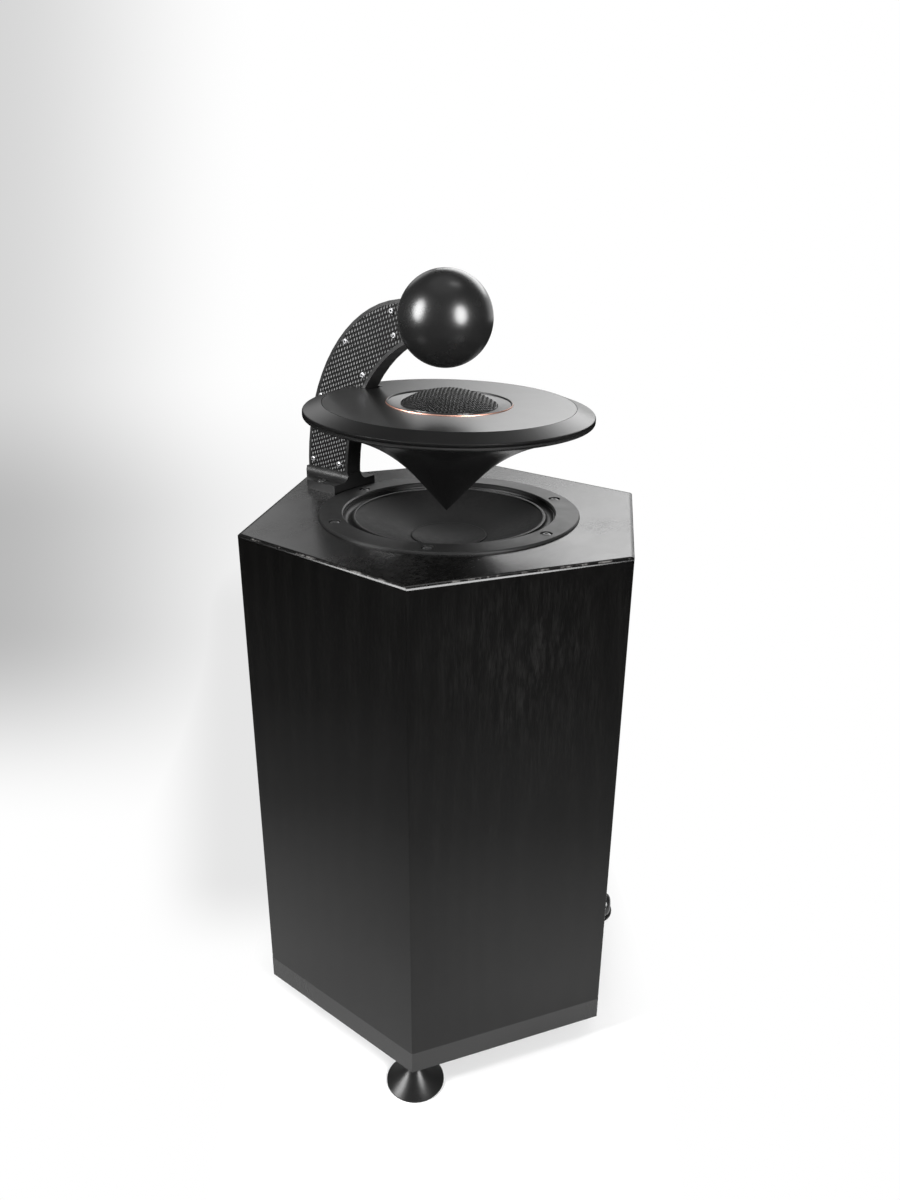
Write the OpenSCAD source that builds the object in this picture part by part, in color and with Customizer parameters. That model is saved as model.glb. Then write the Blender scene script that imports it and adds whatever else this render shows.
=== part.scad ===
// Omnidirectional loudspeaker: a hexagonal cabinet on three feet, a woofer that faces up,
// and a curved arm that holds a cone-shaped reflector with a tweeter, and a ball above it.
// Millimetres, +Z up. The origin is on the floor, under the axis of both drivers.
// The arm stands over the corner that points along +Y.

/* [Cabinet] */
// Distance from the axis to each outer corner
corner_r = 178; // [172:1:186]
// Height of the cabinet without its feet
cabinet_h = 447; // [400:1:520]
// Thickness of the side panels
side_t = 19; // [16:0.5:21]
// Thickness of the top panel
top_t = 22; // [20:0.5:26]
// Thickness of the bottom panel
bottom_t = 22; // [18:0.5:26]
// Radius of the six upright edges
corner_round = 1.5; // [0.5:0.1:3]
// Width of the eased edge round the top and the bottom
edge_ease = 1.2; // [0.5:0.1:2.5]
// Height of the brace ring above the bottom panel
brace_z = 190; // [160:1:220]
// Thickness of the brace ring
brace_t = 18; // [12:1:22]
// Radius of the opening in the brace ring
brace_open_r = 95; // [80:1:110]
// Thickness of the damping felt inside the upper half
felt_t = 10; // [5:1:15]

/* [Feet] */
// Height of a foot, from the floor to the cabinet
foot_h = 21; // [18:0.5:26]
// Radius of a foot at the floor
foot_r = 24.8; // [20:0.1:28]
// Height of the upright edge of a foot at the floor
foot_edge = 1.8; // [1:0.1:4]
// Radius of the neck of a foot
foot_neck_r = 6.5; // [6:0.1:9]
// Distance from the axis to the middle of each foot
foot_pitch_r = 164.7; // [158:0.1:166]
// Radius of the threaded stud of a foot
foot_stud_r = 4; // [3:0.5:5]
// Length of the stud inside the bottom panel
foot_stud_in = 15; // [12:0.5:17]

/* [Woofer] */
// Outer radius of the woofer's flange
flange_r = 110; // [106:0.5:112]
// Thickness of the flange
flange_t = 5; // [4:0.1:6]
// How far the flange stands above the cabinet's top
flange_proud = 2; // [1:0.1:3]
// Radius of the flange's opening
flange_open_r = 89.4; // [88:0.1:92]
// Radius of the edge of the cone
cone_r = 79.6; // [78:0.1:81]
// Depth of the cone's edge below the cabinet's top
cone_edge_z = -2.2; // [-3:0.1:-1.8]
// Radius of the dust cap
cap_r = 32; // [29:0.5:35]
// Depth of the dust cap's edge below the cabinet's top
cap_z = -20.3; // [-22:0.1:-19]
// Radius of the circle of flange screws
woofer_screw_pitch_r = 99.3; // [98:0.1:101]
// Inner radius of the woofer's voice coil former
coil_r = 19.2; // [18:0.1:21]
// Outer radius of the woofer's magnet
magnet_r = 60; // [50:1:70]
// Thickness of the woofer's magnet
magnet_t = 20; // [14:0.5:24]

/* [Arm] */
// Thickness of the arm across its two faces
arm_t = 16.5; // [14:0.1:20]
// Reach of the arm's outer curve, from the middle of that curve
arm_outer_a = 128; // [124:0.5:132]
// Height of the arm's outer curve
arm_outer_b = 161.5; // [158:0.5:166]
// Distance from the axis to the middle of the arm's outer curve
arm_outer_y = 35; // [33:0.5:37]
// Reach of the arm's inner curve
arm_inner_a = 112.5; // [112:0.5:114]
// Height of the arm's inner curve
arm_inner_b = 135; // [130:0.5:138]
// Height of the middle of both curves above the cabinet
arm_curve_z = 10; // [8:0.5:12]
// Width of the bare border round each carbon plate
plate_border = 3; // [2:0.1:4]
// Thickness of each carbon plate
plate_t = 1.5; // [1:0.1:2]
// Height of the lower edge of each carbon plate above the cabinet
plate_low_z = 16.5; // [16:0.5:17.5]
// Half the width of the arm's base
base_half_w = 26; // [25:0.5:30]
// Thickness of the arm's base
base_t = 8; // [6:0.5:9]
// Distance from the axis to the inner edge of the arm's base
base_in_y = 111.4; // [111.4:0.1:113]
// Distance from the axis to where the base starts to narrow
base_mid_y = 147; // [142:0.5:150]
// Distance from the axis to the tip of the base
base_out_y = 166; // [164:0.5:168]
// Radius of the fillets between the arm and its base
base_fillet = 7; // [4:0.5:8]

/* [Ball] */
// Radius of the ball
ball_r = 38.1; // [36:0.1:40]
// Height of the ball's middle above the cabinet
ball_z = 158; // [155:0.5:162]
// Distance of the ball's middle from the axis, towards the arm
ball_y = 4.5; // [0:0.5:5]
// Gap between the ball and the hollow end of the arm
ball_gap = 3; // [2:0.5:6]

/* [Reflector] */
// Radius of the reflector's rim
rim_r = 118.8; // [116:0.1:120]
// Height of the rim's lower edge above the cabinet
rim_low_z = 81.6; // [80:0.1:82.5]
// Height of the rim's upper edge above the cabinet
rim_top_z = 87.6; // [87:0.1:88.5]
// Radius of the rounding of the rim
rim_round = 1.8; // [1:0.1:2.4]
// Height of the reflector's flat top above the cabinet
seam_z = 92.6; // [92:0.1:94]
// Radius of the seam round the flat top
seam_r = 103.2; // [100:0.1:105]
// Width of the open line at the seam
seam_gap = 0.4; // [0.2:0.1:0.6]
// Thickness of the top plate
top_plate_t = 3; // [2:0.1:4]
// Height of the reflector's point above the cabinet
tip_z = 0.8; // [0.5:0.1:3]
// Lean of the reflector away from the arm, in degrees
lean = 1.7; // [0:0.1:2]
// Distance from the axis to the inner end of the slot for the arm
slot_y = 82; // [80:0.5:84]
// Gap on each side between the arm and the slot
slot_gap = 0.4; // [0.3:0.1:0.8]

/* [Tweeter] */
// Outer radius of the copper ring
copper_r = 51.8; // [50:0.1:53]
// Width of the copper ring
copper_w = 1.4; // [1:0.1:2]
// Height of the copper ring above the flat top
copper_proud = 0.6; // [0.3:0.1:1]
// Radius of the mesh grille
mesh_r = 39.5; // [37:0.1:41]
// Height of the mesh grille's crown above its rim
mesh_h = 11.7; // [6:0.1:12.5]
// Thickness of the mesh
mesh_t = 0.6; // [0.4:0.1:1]
// Radius of the tweeter's dome
dome_r = 14; // [12.5:0.1:14.5]
// Height of the tweeter's dome
dome_h = 4.5; // [3:0.1:5]
// Outer radius of the tweeter's magnet
tweeter_magnet_r = 36; // [30:0.5:40]

/* [Terminals] */
// Width of the terminal plate
terminal_w = 84; // [76:1:90]
// Height of the terminal plate
terminal_h = 64; // [58:1:72]
// Height of the terminals above the cabinet's bottom
terminal_z = 80; // [60:1:110]
// Distance between the two binding posts
post_pitch = 19; // [17:0.5:24]
// Radius of the socket in each post
socket_r = 2.05; // [2:0.01:2.1]
// Depth of the socket in each post
socket_depth = 14; // [10:0.5:18]
// Radius of the clamping knobs
knob_r = 7; // [6:0.1:8]
// Length of the clamping knobs
knob_l = 12.8; // [10:0.1:14]

/* [Hidden] */
$fn = 96;

// Clearances and small steps that several pieces share
hole_gap = 0.1;
screw_gap = 0.05;
eps = 0.5;

// Heights of the cabinet
bottom_z = foot_h;
top_z = foot_h + cabinet_h;
apothem = corner_r * cos(30);
inner_apothem = apothem - side_t;
inner_corner_y = inner_apothem / cos(30);
corner_az = [for (k = [0:5]) 90 + 60 * k];

// Colours of the finishes
veneer_black = [0.09, 0.085, 0.08];
paint_black = [0.07, 0.07, 0.07];
carbon_grey = [0.16, 0.16, 0.17];
steel = [0.72, 0.72, 0.74];
brass_gold = [0.8, 0.66, 0.35];
ferrite = [0.17, 0.17, 0.18];
raw_board = [0.62, 0.48, 0.33];

// Points round an ellipse, counted up from its right end
function ellipse_points(cy, cz, a, b, n = 72) =
    [for (i = [0:n]) [cy + a * cos(i * 360 / n), cz + b * sin(i * 360 / n)]];

// A point t of the way along a curve with two handles
function bezier(p0, p1, p2, p3, t) =
    pow(1 - t, 3) * p0 + 3 * pow(1 - t, 2) * t * p1 + 3 * (1 - t) * t * t * p2 + pow(t, 3) * p3;

// Points along an arc, from angle a0 to a1
function arc(c, r, a0, a1, n = 4) =
    [for (i = [0:n]) c + r * [cos(a0 + (a1 - a0) * i / n), sin(a0 + (a1 - a0) * i / n)]];

// Points along a rounded ridge or trough of height h between two radii
function roll(r0, r1, z0, z1, h, n = 12) =
    [for (i = [0:n]) [r0 + (r1 - r0) * (1 - cos(180 * i / n)) / 2,
        z0 + (z1 - z0) * i / n + h * sin(180 * i / n)]];

function reversed(points) = [for (i = [len(points) - 1:-1:0]) points[i]];

function unit(v) = v / norm(v);

// The line at a distance d to the left of a line of points, with mitred bends
function beside(points, d) = [for (i = [0:len(points) - 1])
    let (j = max(i, 1), k = min(i + 1, len(points) - 1),
        a = unit(points[j] - points[j - 1]), b = unit(points[k] - points[k - 1]), m = unit(a + b))
    points[i] + d / (m * a) * [-m[1], m[0]]];

// A tube wall between two radii
module ring(r_out, r_in, z0, z1) {
    rotate_extrude() translate([r_in, z0]) square([r_out - r_in, z1 - z0]);
}

// A hexagonal prism with a corner along +Y
module hexagon(r, z0, z1) {
    translate([0, 0, z0]) rotate([0, 0, 90]) cylinder(r = r, h = z1 - z0, $fn = 6);
}

// A plate whose outline lies in the YZ plane, centred on X
module upright(t) {
    rotate([90, 0, 90]) translate([0, 0, -t / 2]) linear_extrude(t) children();
}

// A round rod from one point to another
module rod(a, b, r) {
    d = b - a;
    translate(a) rotate([0, acos(d[2] / norm(d)), atan2(d[1], d[0])])
        cylinder(r = r, h = norm(d));
}

// Cabinet

// How far along the mitre the eased edge reaches
ease_share = edge_ease / (side_t + top_t);
felt_gap = 0.3;
felt_top_gap = 2;
recess_gap = 0.3;

// Cross-section of a side panel: mitred ends and rounded outer corners
module side_section() {
    round_y = (apothem - corner_round) * tan(30);
    upper = arc([apothem - corner_round, round_y], corner_round, 0, 30);
    inner_y = inner_apothem * tan(30);
    lower = reversed([for (p = upper) [p[0], -p[1]]]);
    polygon(concat(lower, upper, [[inner_apothem, inner_y], [inner_apothem, -inner_y]]));
}

// Outline of a side panel seen from its end: mitred to the top, square on the bottom
module side_outline() {
    polygon([[inner_apothem, bottom_z + bottom_t], [apothem, bottom_z + bottom_t],
        [apothem, top_z - edge_ease],
        [apothem - ease_share * side_t, top_z - ease_share * top_t],
        [inner_apothem, top_z - top_t]]);
}

module side_panel(i) {
    color(veneer_black) rotate([0, 0, 60 + 60 * i]) difference() {
        intersection() {
            linear_extrude(top_z) side_section();
            rotate([90, 0, 0]) translate([0, 0, -corner_r]) linear_extrude(2 * corner_r)
                side_outline();
        }
        if (i == 6) translate([0, 0, terminal_height]) rotate([0, 90, 0])
            cylinder(r = terminal_hole_r, h = corner_r);
        if (i == 6) at_plate_screws() translate([0, 0, -terminal_screw_l - 2])
            cylinder(r = terminal_screw_r + screw_gap, h = terminal_screw_l + 4);
    }
}

// Cuts all six edges of a panel along the outline that its children draw
module trim_edges() {
    for (i = [0:5]) rotate([90, 0, 60 * i]) translate([0, 0, -corner_r])
        linear_extrude(2 * corner_r) children();
}

// What is cut from the top panel's edge, seen from its end
module top_edge_cut() {
    polygon([[inner_apothem, top_z - top_t],
        [apothem - ease_share * side_t, top_z - ease_share * top_t],
        [apothem - edge_ease, top_z], [apothem - edge_ease, top_z + eps],
        [corner_r, top_z + eps], [corner_r, top_z - top_t - eps],
        [inner_apothem, top_z - top_t - eps]]);
}

// What is cut from the bottom panel's edge, seen from its end
module bottom_edge_cut() {
    polygon([[apothem - edge_ease, bottom_z], [apothem, bottom_z + edge_ease],
        [corner_r, bottom_z + edge_ease], [corner_r, bottom_z - eps],
        [apothem - edge_ease, bottom_z - eps]]);
}

module top_panel() {
    color(veneer_black) difference() {
        hexagon(corner_r, top_z - top_t, top_z);
        trim_edges() top_edge_cut();
        translate([0, 0, top_z - flange_seat]) cylinder(r = flange_r + recess_gap, h = top_t);
        translate([0, 0, top_z - top_t - eps]) cylinder(r = basket_r + basket_gap, h = top_t + 2 * eps);
        at_woofer_screws() translate([0, 0, -woofer_screw_l - eps])
            cylinder(r = woofer_screw_r + screw_gap, h = woofer_screw_l + eps);
        at_base_screws() translate([0, 0, -base_screw_l])
            cylinder(r = base_screw_r + screw_gap, h = base_screw_l);
        at_web_screws() translate([0, 0, -eps])
            cylinder(r = web_screw_r + hole_gap, h = top_t + 2 * eps);
        at_web_screws() translate([0, 0, -eps])
            cylinder(r = web_head_r + hole_gap, h = web_head_h + eps);
        translate([lead_x, lead_route[0][0], top_z - top_t - eps])
            cylinder(r = lead_r + lead_gap, h = top_t + 2 * eps);
    }
}

module bottom_panel() {
    color(veneer_black) difference() {
        hexagon(corner_r, bottom_z, bottom_z + bottom_t);
        trim_edges() bottom_edge_cut();
        at_feet() translate([0, 0, -eps]) cylinder(r = insert_r, h = insert_l + eps);
        at_feet() cylinder(r = foot_stud_r + 1, h = foot_stud_in + 2);
    }
}

module brace_ring() {
    z0 = bottom_z + bottom_t + brace_z;
    color(raw_board) difference() {
        hexagon(inner_corner_y, z0, z0 + brace_t);
        translate([0, 0, z0 - eps]) cylinder(r = brace_open_r, h = brace_t + 2 * eps);
    }
}

module damping_felt() {
    z0 = bottom_z + bottom_t + brace_z + brace_t;
    z1 = top_z + lead_route[0][1] - felt_top_gap;
    face = inner_apothem - felt_gap;
    color([0.45, 0.45, 0.47]) difference() {
        hexagon(face / cos(30), z0, z1);
        hexagon((face - felt_t) / cos(30), z0 - eps, z1 + eps);
    }
}

// Feet

insert_wall = 2;
insert_r = foot_stud_r + insert_wall;
insert_l = 13;
insert_sink = 0.5;
foot_az = [90, 210, 330];
foot_gap = 0.4;
foot_toe = 0.6;
collar_h = 3;
stud_seat = 10;

// How far the flare's handles reach from its two ends
toe_pull = [7, 4.5];
neck_pull = [3, 5];

// Puts its children at the cabinet's underside, over the middle of each foot
module at_foot(i) {
    rotate([0, 0, foot_az[i]]) translate([foot_pitch_r, 0, bottom_z]) children();
}

module at_feet() {
    for (i = [0:2]) at_foot(i) children();
}

module foot_inserts() {
    color(brass_gold) at_feet() ring(insert_r, foot_stud_r + screw_gap, insert_sink,
        insert_l);
}

// A flared cone with a short upright edge at the floor and a collar at the neck
module foot(i) {
    toe = [foot_r, foot_edge];
    neck = [foot_neck_r, foot_h - collar_h];
    flare = [for (k = [0:10]) bezier(toe, toe + [-toe_pull[0], toe_pull[1]],
        neck + [neck_pull[0], -neck_pull[1]], neck, k / 10)];
    color(paint_black) at_foot(i) translate([0, 0, -foot_h]) rotate_extrude()
        polygon(concat([[0, 0], [foot_r - foot_toe, 0], [foot_r, foot_toe]], flare,
            [[foot_neck_r, foot_h - foot_gap], [foot_stud_r + screw_gap, foot_h - foot_gap],
            [foot_stud_r + screw_gap, stud_seat], [0, stud_seat]]));
}

module foot_stud(i) {
    color(steel) at_foot(i) translate([0, 0, stud_seat - foot_h])
        cylinder(r = foot_stud_r, h = foot_h - stud_seat + foot_stud_in);
}

// Woofer, with heights counted from the cabinet's top

flange_seat = flange_t - flange_proud;
lip_z = -1.1;
basket_r = 94;
basket_gap = 0.6;
wall_t = 2.4;
spider_r = 56;
ledge_z = -34;
basket_back_z = -51;
plate_steel_t = 6;
former_t = 0.4;
former_below = 10;
winding_t = 0.7;
winding_h = 14;
coil_gap = 0.6;
pole_r = coil_r - coil_gap;
plate_bore_r = coil_r + former_t + winding_t + coil_gap;
magnet_back_z = basket_back_z - plate_steel_t - magnet_t;
back_plate_t = 7;
cone_t = 1;
neck_drop = 7;
neck_h = 3.5;
land_w = 1.2;

// How far the cone's handles reach from its edge and from the cap
edge_pull = [18, 10];
cap_pull = [13.2, 5];
landing_w = 2.2;
landing_t = 0.8;
woofer_screw_r = 2.5;
woofer_head_r = 4.25;
woofer_head_h = 1.9;
woofer_sink = 2.2;
woofer_screw_l = 18;
counterbore_gap = 0.9;

// Openings between the spokes of the basket
window_w = 50;
window_h = 19;
window_low = 5;

module at_woofer_screws() {
    for (az = corner_az) rotate([0, 0, az])
        translate([woofer_screw_pitch_r, 0, top_z + flange_proud - woofer_sink]) children();
}

module woofer_frame() {
    color([0.11, 0.11, 0.11]) difference() {
        translate([0, 0, top_z]) rotate_extrude() polygon([
            [flange_r, -flange_seat], [flange_r, flange_proud - 0.8],
            [flange_r - 0.8, flange_proud], [flange_open_r + 1, flange_proud],
            [flange_open_r, flange_proud - 1], [flange_open_r, lip_z],
            [basket_r - wall_t, lip_z], [basket_r - wall_t, -7],
            [spider_r + 3, ledge_z + 1.4], [spider_r + 3, ledge_z], [spider_r - 6, ledge_z],
            [spider_r - 6, ledge_z - 2.5], [spider_r + 1, ledge_z - 2.5],
            [spider_r + 1, basket_back_z + 3], [plate_bore_r + 3, basket_back_z + 3],
            [plate_bore_r + 3, basket_back_z], [spider_r + 4, basket_back_z],
            [spider_r + 3 + wall_t, ledge_z + 1], [basket_r, -9], [basket_r, -flange_seat]]);
        for (az = corner_az) rotate([0, 0, az + 30])
            translate([spider_r + 8, -window_w / 2, top_z + ledge_z + window_low])
                cube([window_w, window_w, window_h]);
        at_woofer_screws() translate([0, 0, -flange_t])
            cylinder(r = woofer_screw_r + hole_gap, h = 2 * flange_t);
        at_woofer_screws() cylinder(r = woofer_head_r + counterbore_gap, h = flange_t);
    }
}

module woofer_front_plate() {
    color(steel) translate([0, 0, top_z])
        ring(magnet_r - 10, plate_bore_r, basket_back_z - plate_steel_t, basket_back_z);
}

module woofer_magnet() {
    color(ferrite) translate([0, 0, top_z])
        ring(magnet_r, plate_bore_r + 8, magnet_back_z, magnet_back_z + magnet_t);
}

// Back plate and pole in one turned piece, with a vent through the middle
module woofer_pole() {
    vent_r = 5;
    color(steel) translate([0, 0, top_z]) rotate_extrude() polygon([
        [vent_r, magnet_back_z - back_plate_t], [magnet_r - 8, magnet_back_z - back_plate_t],
        [magnet_r - 8, magnet_back_z], [pole_r, magnet_back_z], [pole_r, basket_back_z + 1.5],
        [vent_r, basket_back_z + 1.5]]);
}

// The cone is a thin curved shell with a flat land for the cap and a neck round the former
module woofer_cone() {
    former_out = coil_r + former_t;
    neck_z = cap_z - neck_drop;
    edge = [cone_r, cone_edge_z];
    cap_edge = [cap_r + 0.8, cap_z];
    curve = [for (i = [0:14]) bezier(edge, edge - edge_pull, cap_edge + cap_pull, cap_edge, i / 14)];
    face = concat([[cone_r + landing_w, cone_edge_z]], curve,
        [[cap_r - land_w, cap_z], [former_out + cone_t, neck_z], [former_out, neck_z]]);
    back = concat([[former_out, neck_z - neck_h], [former_out + cone_t, neck_z - neck_h],
        [former_out + 1.6 * cone_t, neck_z - cone_t]],
        [[cap_r - cone_t, cap_z - cone_t]], reversed([for (p = curve) [p[0], p[1] - cone_t]]),
        [[cone_r + landing_w, cone_edge_z - cone_t]]);
    color([0.1, 0.1, 0.11]) translate([0, 0, top_z]) rotate_extrude()
        polygon(concat(face, back));
}

// A shallow dish with a bead round its edge
module woofer_dust_cap() {
    cap_t = 0.6;
    dish_h = 4.6;
    dish = [for (i = [0:8]) [(cap_r - land_w) * (1 - i / 8),
        cap_z + cap_t - dish_h * (1 - pow(1 - i / 8, 2))]];
    color([0.08, 0.08, 0.08]) translate([0, 0, top_z]) rotate_extrude()
        polygon(concat([[cap_r - 1, cap_z], [cap_r + 0.6, cap_z], [cap_r + 0.6, cap_z + 0.4],
            [cap_r + 0.2, cap_z + 0.8], [cap_r - 0.6, cap_z + 0.9]], dish,
            reversed([for (p = dish) p - [0, cap_t]])));
}

module woofer_voice_coil() {
    former_low = basket_back_z - former_below;
    translate([0, 0, top_z]) {
        color([0.75, 0.6, 0.35]) ring(coil_r + former_t, coil_r, former_low, cap_z - 6.6);
        color([0.72, 0.4, 0.22])
            ring(coil_r + former_t + winding_t, coil_r + former_t, former_low,
                former_low + winding_h);
    }
}

// A corrugated disc between the former and the basket's ledge
module woofer_spider() {
    cloth_t = 0.6;
    waves = 5;
    wave_h = 1.3;
    r0 = coil_r + former_t + 1.4;
    r1 = spider_r - 6;
    mid_z = ledge_z + cloth_t / 2 + 0.3;
    line = [for (i = [0:60]) [r0 + (r1 - r0) * i / 60,
        mid_z + wave_h * sin(360 * waves * i / 60) * sin(180 * i / 60)]];
    color([0.75, 0.68, 0.3]) translate([0, 0, top_z]) rotate_extrude()
        polygon(concat([[coil_r + former_t, mid_z - 0.8], [r0 - 0.4, mid_z - 0.8]],
            [for (p = line) p - [0, cloth_t / 2]],
            [[r1, ledge_z], [spider_r, ledge_z], [spider_r, ledge_z + cloth_t]],
            reversed([for (p = line) p + [0, cloth_t / 2]]),
            [[r0 - 0.4, mid_z + 0.8], [coil_r + former_t, mid_z + 0.8]]));
}

// A soft trough between the cone's edge and the underside of the flange's lip
module woofer_surround() {
    rubber_t = 0.6;
    roll_out = flange_open_r - 0.9;
    z_in = cone_edge_z;
    z_out = lip_z - landing_t;
    under = roll(cone_r + landing_w, roll_out, z_in, z_out, -3.4);
    color([0.05, 0.05, 0.05]) translate([0, 0, top_z]) rotate_extrude()
        polygon(concat([[cone_r - 0.4, z_in]], under,
            [[basket_r - wall_t - 0.2, z_out], [basket_r - wall_t - 0.2, lip_z],
            [flange_open_r - 0.6, lip_z]],
            reversed([for (p = under) p + [0, rubber_t]]),
            [[cone_r + landing_w - 0.4, z_in + landing_t],
            [cone_r - 0.4, z_in + landing_t]]));
}

// A round head with a hexagon socket, its seat at height 0 and its shank below
module socket_screw(head_r, head_h, shank_r, shank_l, socket) {
    difference() {
        union() {
            rotate_extrude() polygon(concat([[0, 0], [head_r, 0], [head_r, head_h * 0.35]],
                [for (i = [1:4]) [head_r * (1 - 0.42 * pow(i / 4, 2)),
                    head_h * (0.35 + 0.65 * i / 4)]], [[0, head_h]]));
            translate([0, 0, -shank_l]) cylinder(r = shank_r, h = shank_l + head_h / 4);
        }
        translate([0, 0, head_h * 0.3]) cylinder(r = socket, h = head_h, $fn = 6);
    }
}

module woofer_screws() {
    color(steel) at_woofer_screws()
        socket_screw(woofer_head_r, woofer_head_h, woofer_screw_r, woofer_screw_l, 1.7);
}

// Arm, with heights counted from the cabinet's top

end_r = ball_r + ball_gap;
web_screw_r = 3;
web_screw_l = 20;
web_head_r = 5;
web_head_h = 5;
base_screw_r = 2.5;
base_screw_l = 20;
base_head_r = 4.2;
base_head_h = 2.2;
base_screw_x = 20.5;
base_screw_in = 11.2;
base_head_sink = 1;
web_screw_in = [5.5, 7];
plate_screw_r = 1.5;
plate_screw_l = 4.5;
plate_head_r = 2.85;
plate_head_h = 1.65;

// The base's screws keep clear of the mitred corner behind them
base_screw_y = inner_corner_y - base_screw_x * tan(30) - base_screw_in;
web_screw_y = [arm_inner_a + web_screw_in[0], inner_corner_y - web_screw_in[1]];

tongue_half_w = 6;
tongue_in_y = 57;
tongue_low_z = 74.5;
tongue_top_z = 83.5;
tongue_gap = 0.3;
tongue_screw_y = [63, 75];
tongue_screw_x = 1.5;
tongue_screw_r = 2;
tongue_screw_l = 14.5;
tongue_head_r = 3.5;
tongue_head_h = 2.4;

// Places of the plate screws, along the arm and above the cabinet
plate_screws = [[155.6, 22.9], [122.1, 22.9], [141.4, 82.8], [88.8, 106.1], [108.3, 132.7],
    [51.8, 141.7], [54, 161]];

// The lead's way from the cabinet through the arm to the tweeter, along and above
lead_r = 1.6;
lead_x = -4.6;
lead_gap = 0.2;
lead_bend_r = 1.7;
lead_exit_gap = 0.7;
lead_y = (web_screw_y[0] + web_screw_y[1]) / 2;
lead_route = [[lead_y, -32], [lead_y, 20], [132, 45], [122, 72], [106, 86], [88, 89.2],
    [42, 88.1]];

// Leans its children with the reflector
module leaned() {
    translate([0, 0, top_z + seam_z]) rotate([lean, 0, 0]) translate([0, 0, -top_z - seam_z])
        children();
}

module at_base_screws() {
    for (side = [-1, 1])
        translate([side * base_screw_x, base_screw_y, top_z]) children();
}

module at_web_screws() {
    for (y = web_screw_y) translate([0, y, top_z - top_t]) children();
}

// Outline of the curved arm, or of a plate set in from its edges
module arm_outline(inset, low) {
    difference() {
        intersection() {
            polygon(ellipse_points(arm_outer_y, arm_curve_z, arm_outer_a - inset,
                arm_outer_b - inset));
            translate([end_r / 2, low]) square([corner_r, corner_r]);
        }
        polygon(ellipse_points(0, arm_curve_z, arm_inner_a + inset, arm_inner_b + inset));
        translate([ball_y, ball_z]) circle(r = end_r + inset);
        translate([0, -corner_r]) square([arm_inner_a + inset, corner_r + arm_curve_z]);
    }
}

module base_outline() {
    tip_half_w = arm_t / 2 + 0.8;
    polygon([[-base_half_w, base_in_y], [base_half_w, base_in_y], [base_half_w, base_mid_y],
        [tip_half_w, base_out_y], [-tip_half_w, base_out_y], [-base_half_w, base_mid_y]]);
}

// The rounded corners between the arm and its base
module base_fillets() {
    intersection() {
        linear_extrude(base_t + base_fillet) base_outline();
        rotate([90, 0, 0]) translate([0, 0, -base_out_y]) linear_extrude(base_out_y - base_in_y)
            difference() {
                translate([-arm_t / 2 - base_fillet, base_t - eps])
                    square([arm_t + 2 * base_fillet, base_fillet + eps]);
                for (side = [-1, 1]) translate([side * (arm_t / 2 + base_fillet),
                    base_t + base_fillet]) circle(r = base_fillet);
            }
    }
}

// A hole up through the base, then a groove milled from the left face under the plate
module lead_way() {
    way_r = lead_r + lead_gap;
    grooved = [for (i = [1:5]) lead_route[i]];
    translate([lead_x, lead_route[0][0], -eps])
        cylinder(r = way_r + lead_gap, h = lead_route[1][1] + 2 * eps);
    translate([-arm_t / 2 - eps, 0, 0]) rotate([90, 0, 90])
        linear_extrude(arm_t / 2 + eps + lead_x + way_r)
            polygon(concat(beside(grooved, way_r), reversed(beside(grooved, -way_r))));
}

module arm_core() {
    color(paint_black) difference() {
        union() {
            translate([0, 0, top_z]) {
                upright(arm_t) arm_outline(0, 0);
                linear_extrude(base_t) base_outline();
                base_fillets();
            }
            leaned() translate([-tongue_half_w, tongue_in_y, top_z + tongue_low_z])
                cube([2 * tongue_half_w, 45, tongue_top_z - tongue_low_z]);
        }
        for (side = [-1, 1]) translate([side * (arm_t - plate_t + eps) / 2, 0, top_z])
            upright(plate_t + eps) arm_outline(plate_border, plate_low_z);
        translate([0, 0, top_z]) lead_way();
        at_base_screws() cylinder(r = base_screw_r + hole_gap, h = base_t);
        at_base_screws() translate([0, 0, base_t - base_head_sink])
            cylinder(r = base_head_r + recess_gap, h = base_fillet);
        at_web_screws() cylinder(r = web_screw_r + screw_gap, h = top_t + web_screw_l);
        at_plate_screws_on_arm(-1) plate_hole();
        at_plate_screws_on_arm(1) plate_hole();
        leaned() for (y = tongue_screw_y) translate([tongue_screw_x, y, top_z + tongue_low_z - 1])
            cylinder(r = tongue_screw_r + hole_gap, h = 12);
        translate([0, ball_y + end_r - 2, top_z + ball_z]) rotate([-90, 0, 0])
            cylinder(r = ball_stud_r + screw_gap, h = ball_stud_in + 2);
    }
}

// Puts its children on the face of the plate on one side, with +Z out of that face
module at_plate_screws_on_arm(side) {
    for (p = plate_screws) translate([side * arm_t / 2, p[0], top_z + p[1]])
        rotate([0, side * 90, 0]) children();
}

module plate_hole() {
    translate([0, 0, -plate_screw_l - 0.5]) cylinder(r = plate_screw_r + screw_gap,
        h = plate_screw_l + 1);
}

module arm_plate(side) {
    color(carbon_grey) difference() {
        translate([side * (arm_t - plate_t) / 2, 0, top_z]) upright(plate_t)
            arm_outline(plate_border + 0.1, plate_low_z + 0.1);
        at_plate_screws_on_arm(side) plate_hole();
    }
}

module arm_plate_screws() {
    color(steel) for (side = [-1, 1]) at_plate_screws_on_arm(side)
        socket_screw(plate_head_r, plate_head_h, plate_screw_r, plate_screw_l, 1.1);
}

module arm_base_screws() {
    color(steel) {
        at_base_screws() translate([0, 0, base_t - base_head_sink])
            socket_screw(base_head_r, base_head_h, base_screw_r,
                base_screw_l + base_t - base_head_sink, 1.7);
        at_web_screws() difference() {
            union() {
                cylinder(r = web_head_r, h = web_head_h);
                cylinder(r = web_screw_r, h = top_t + web_screw_l - 1);
            }
            translate([0, 0, -eps]) cylinder(r = 2.6, h = 3, $fn = 6);
        }
    }
}

// Ball

ball_stud_r = 3;
ball_stud_in = 16;
ball_collar_r = 6;

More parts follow.
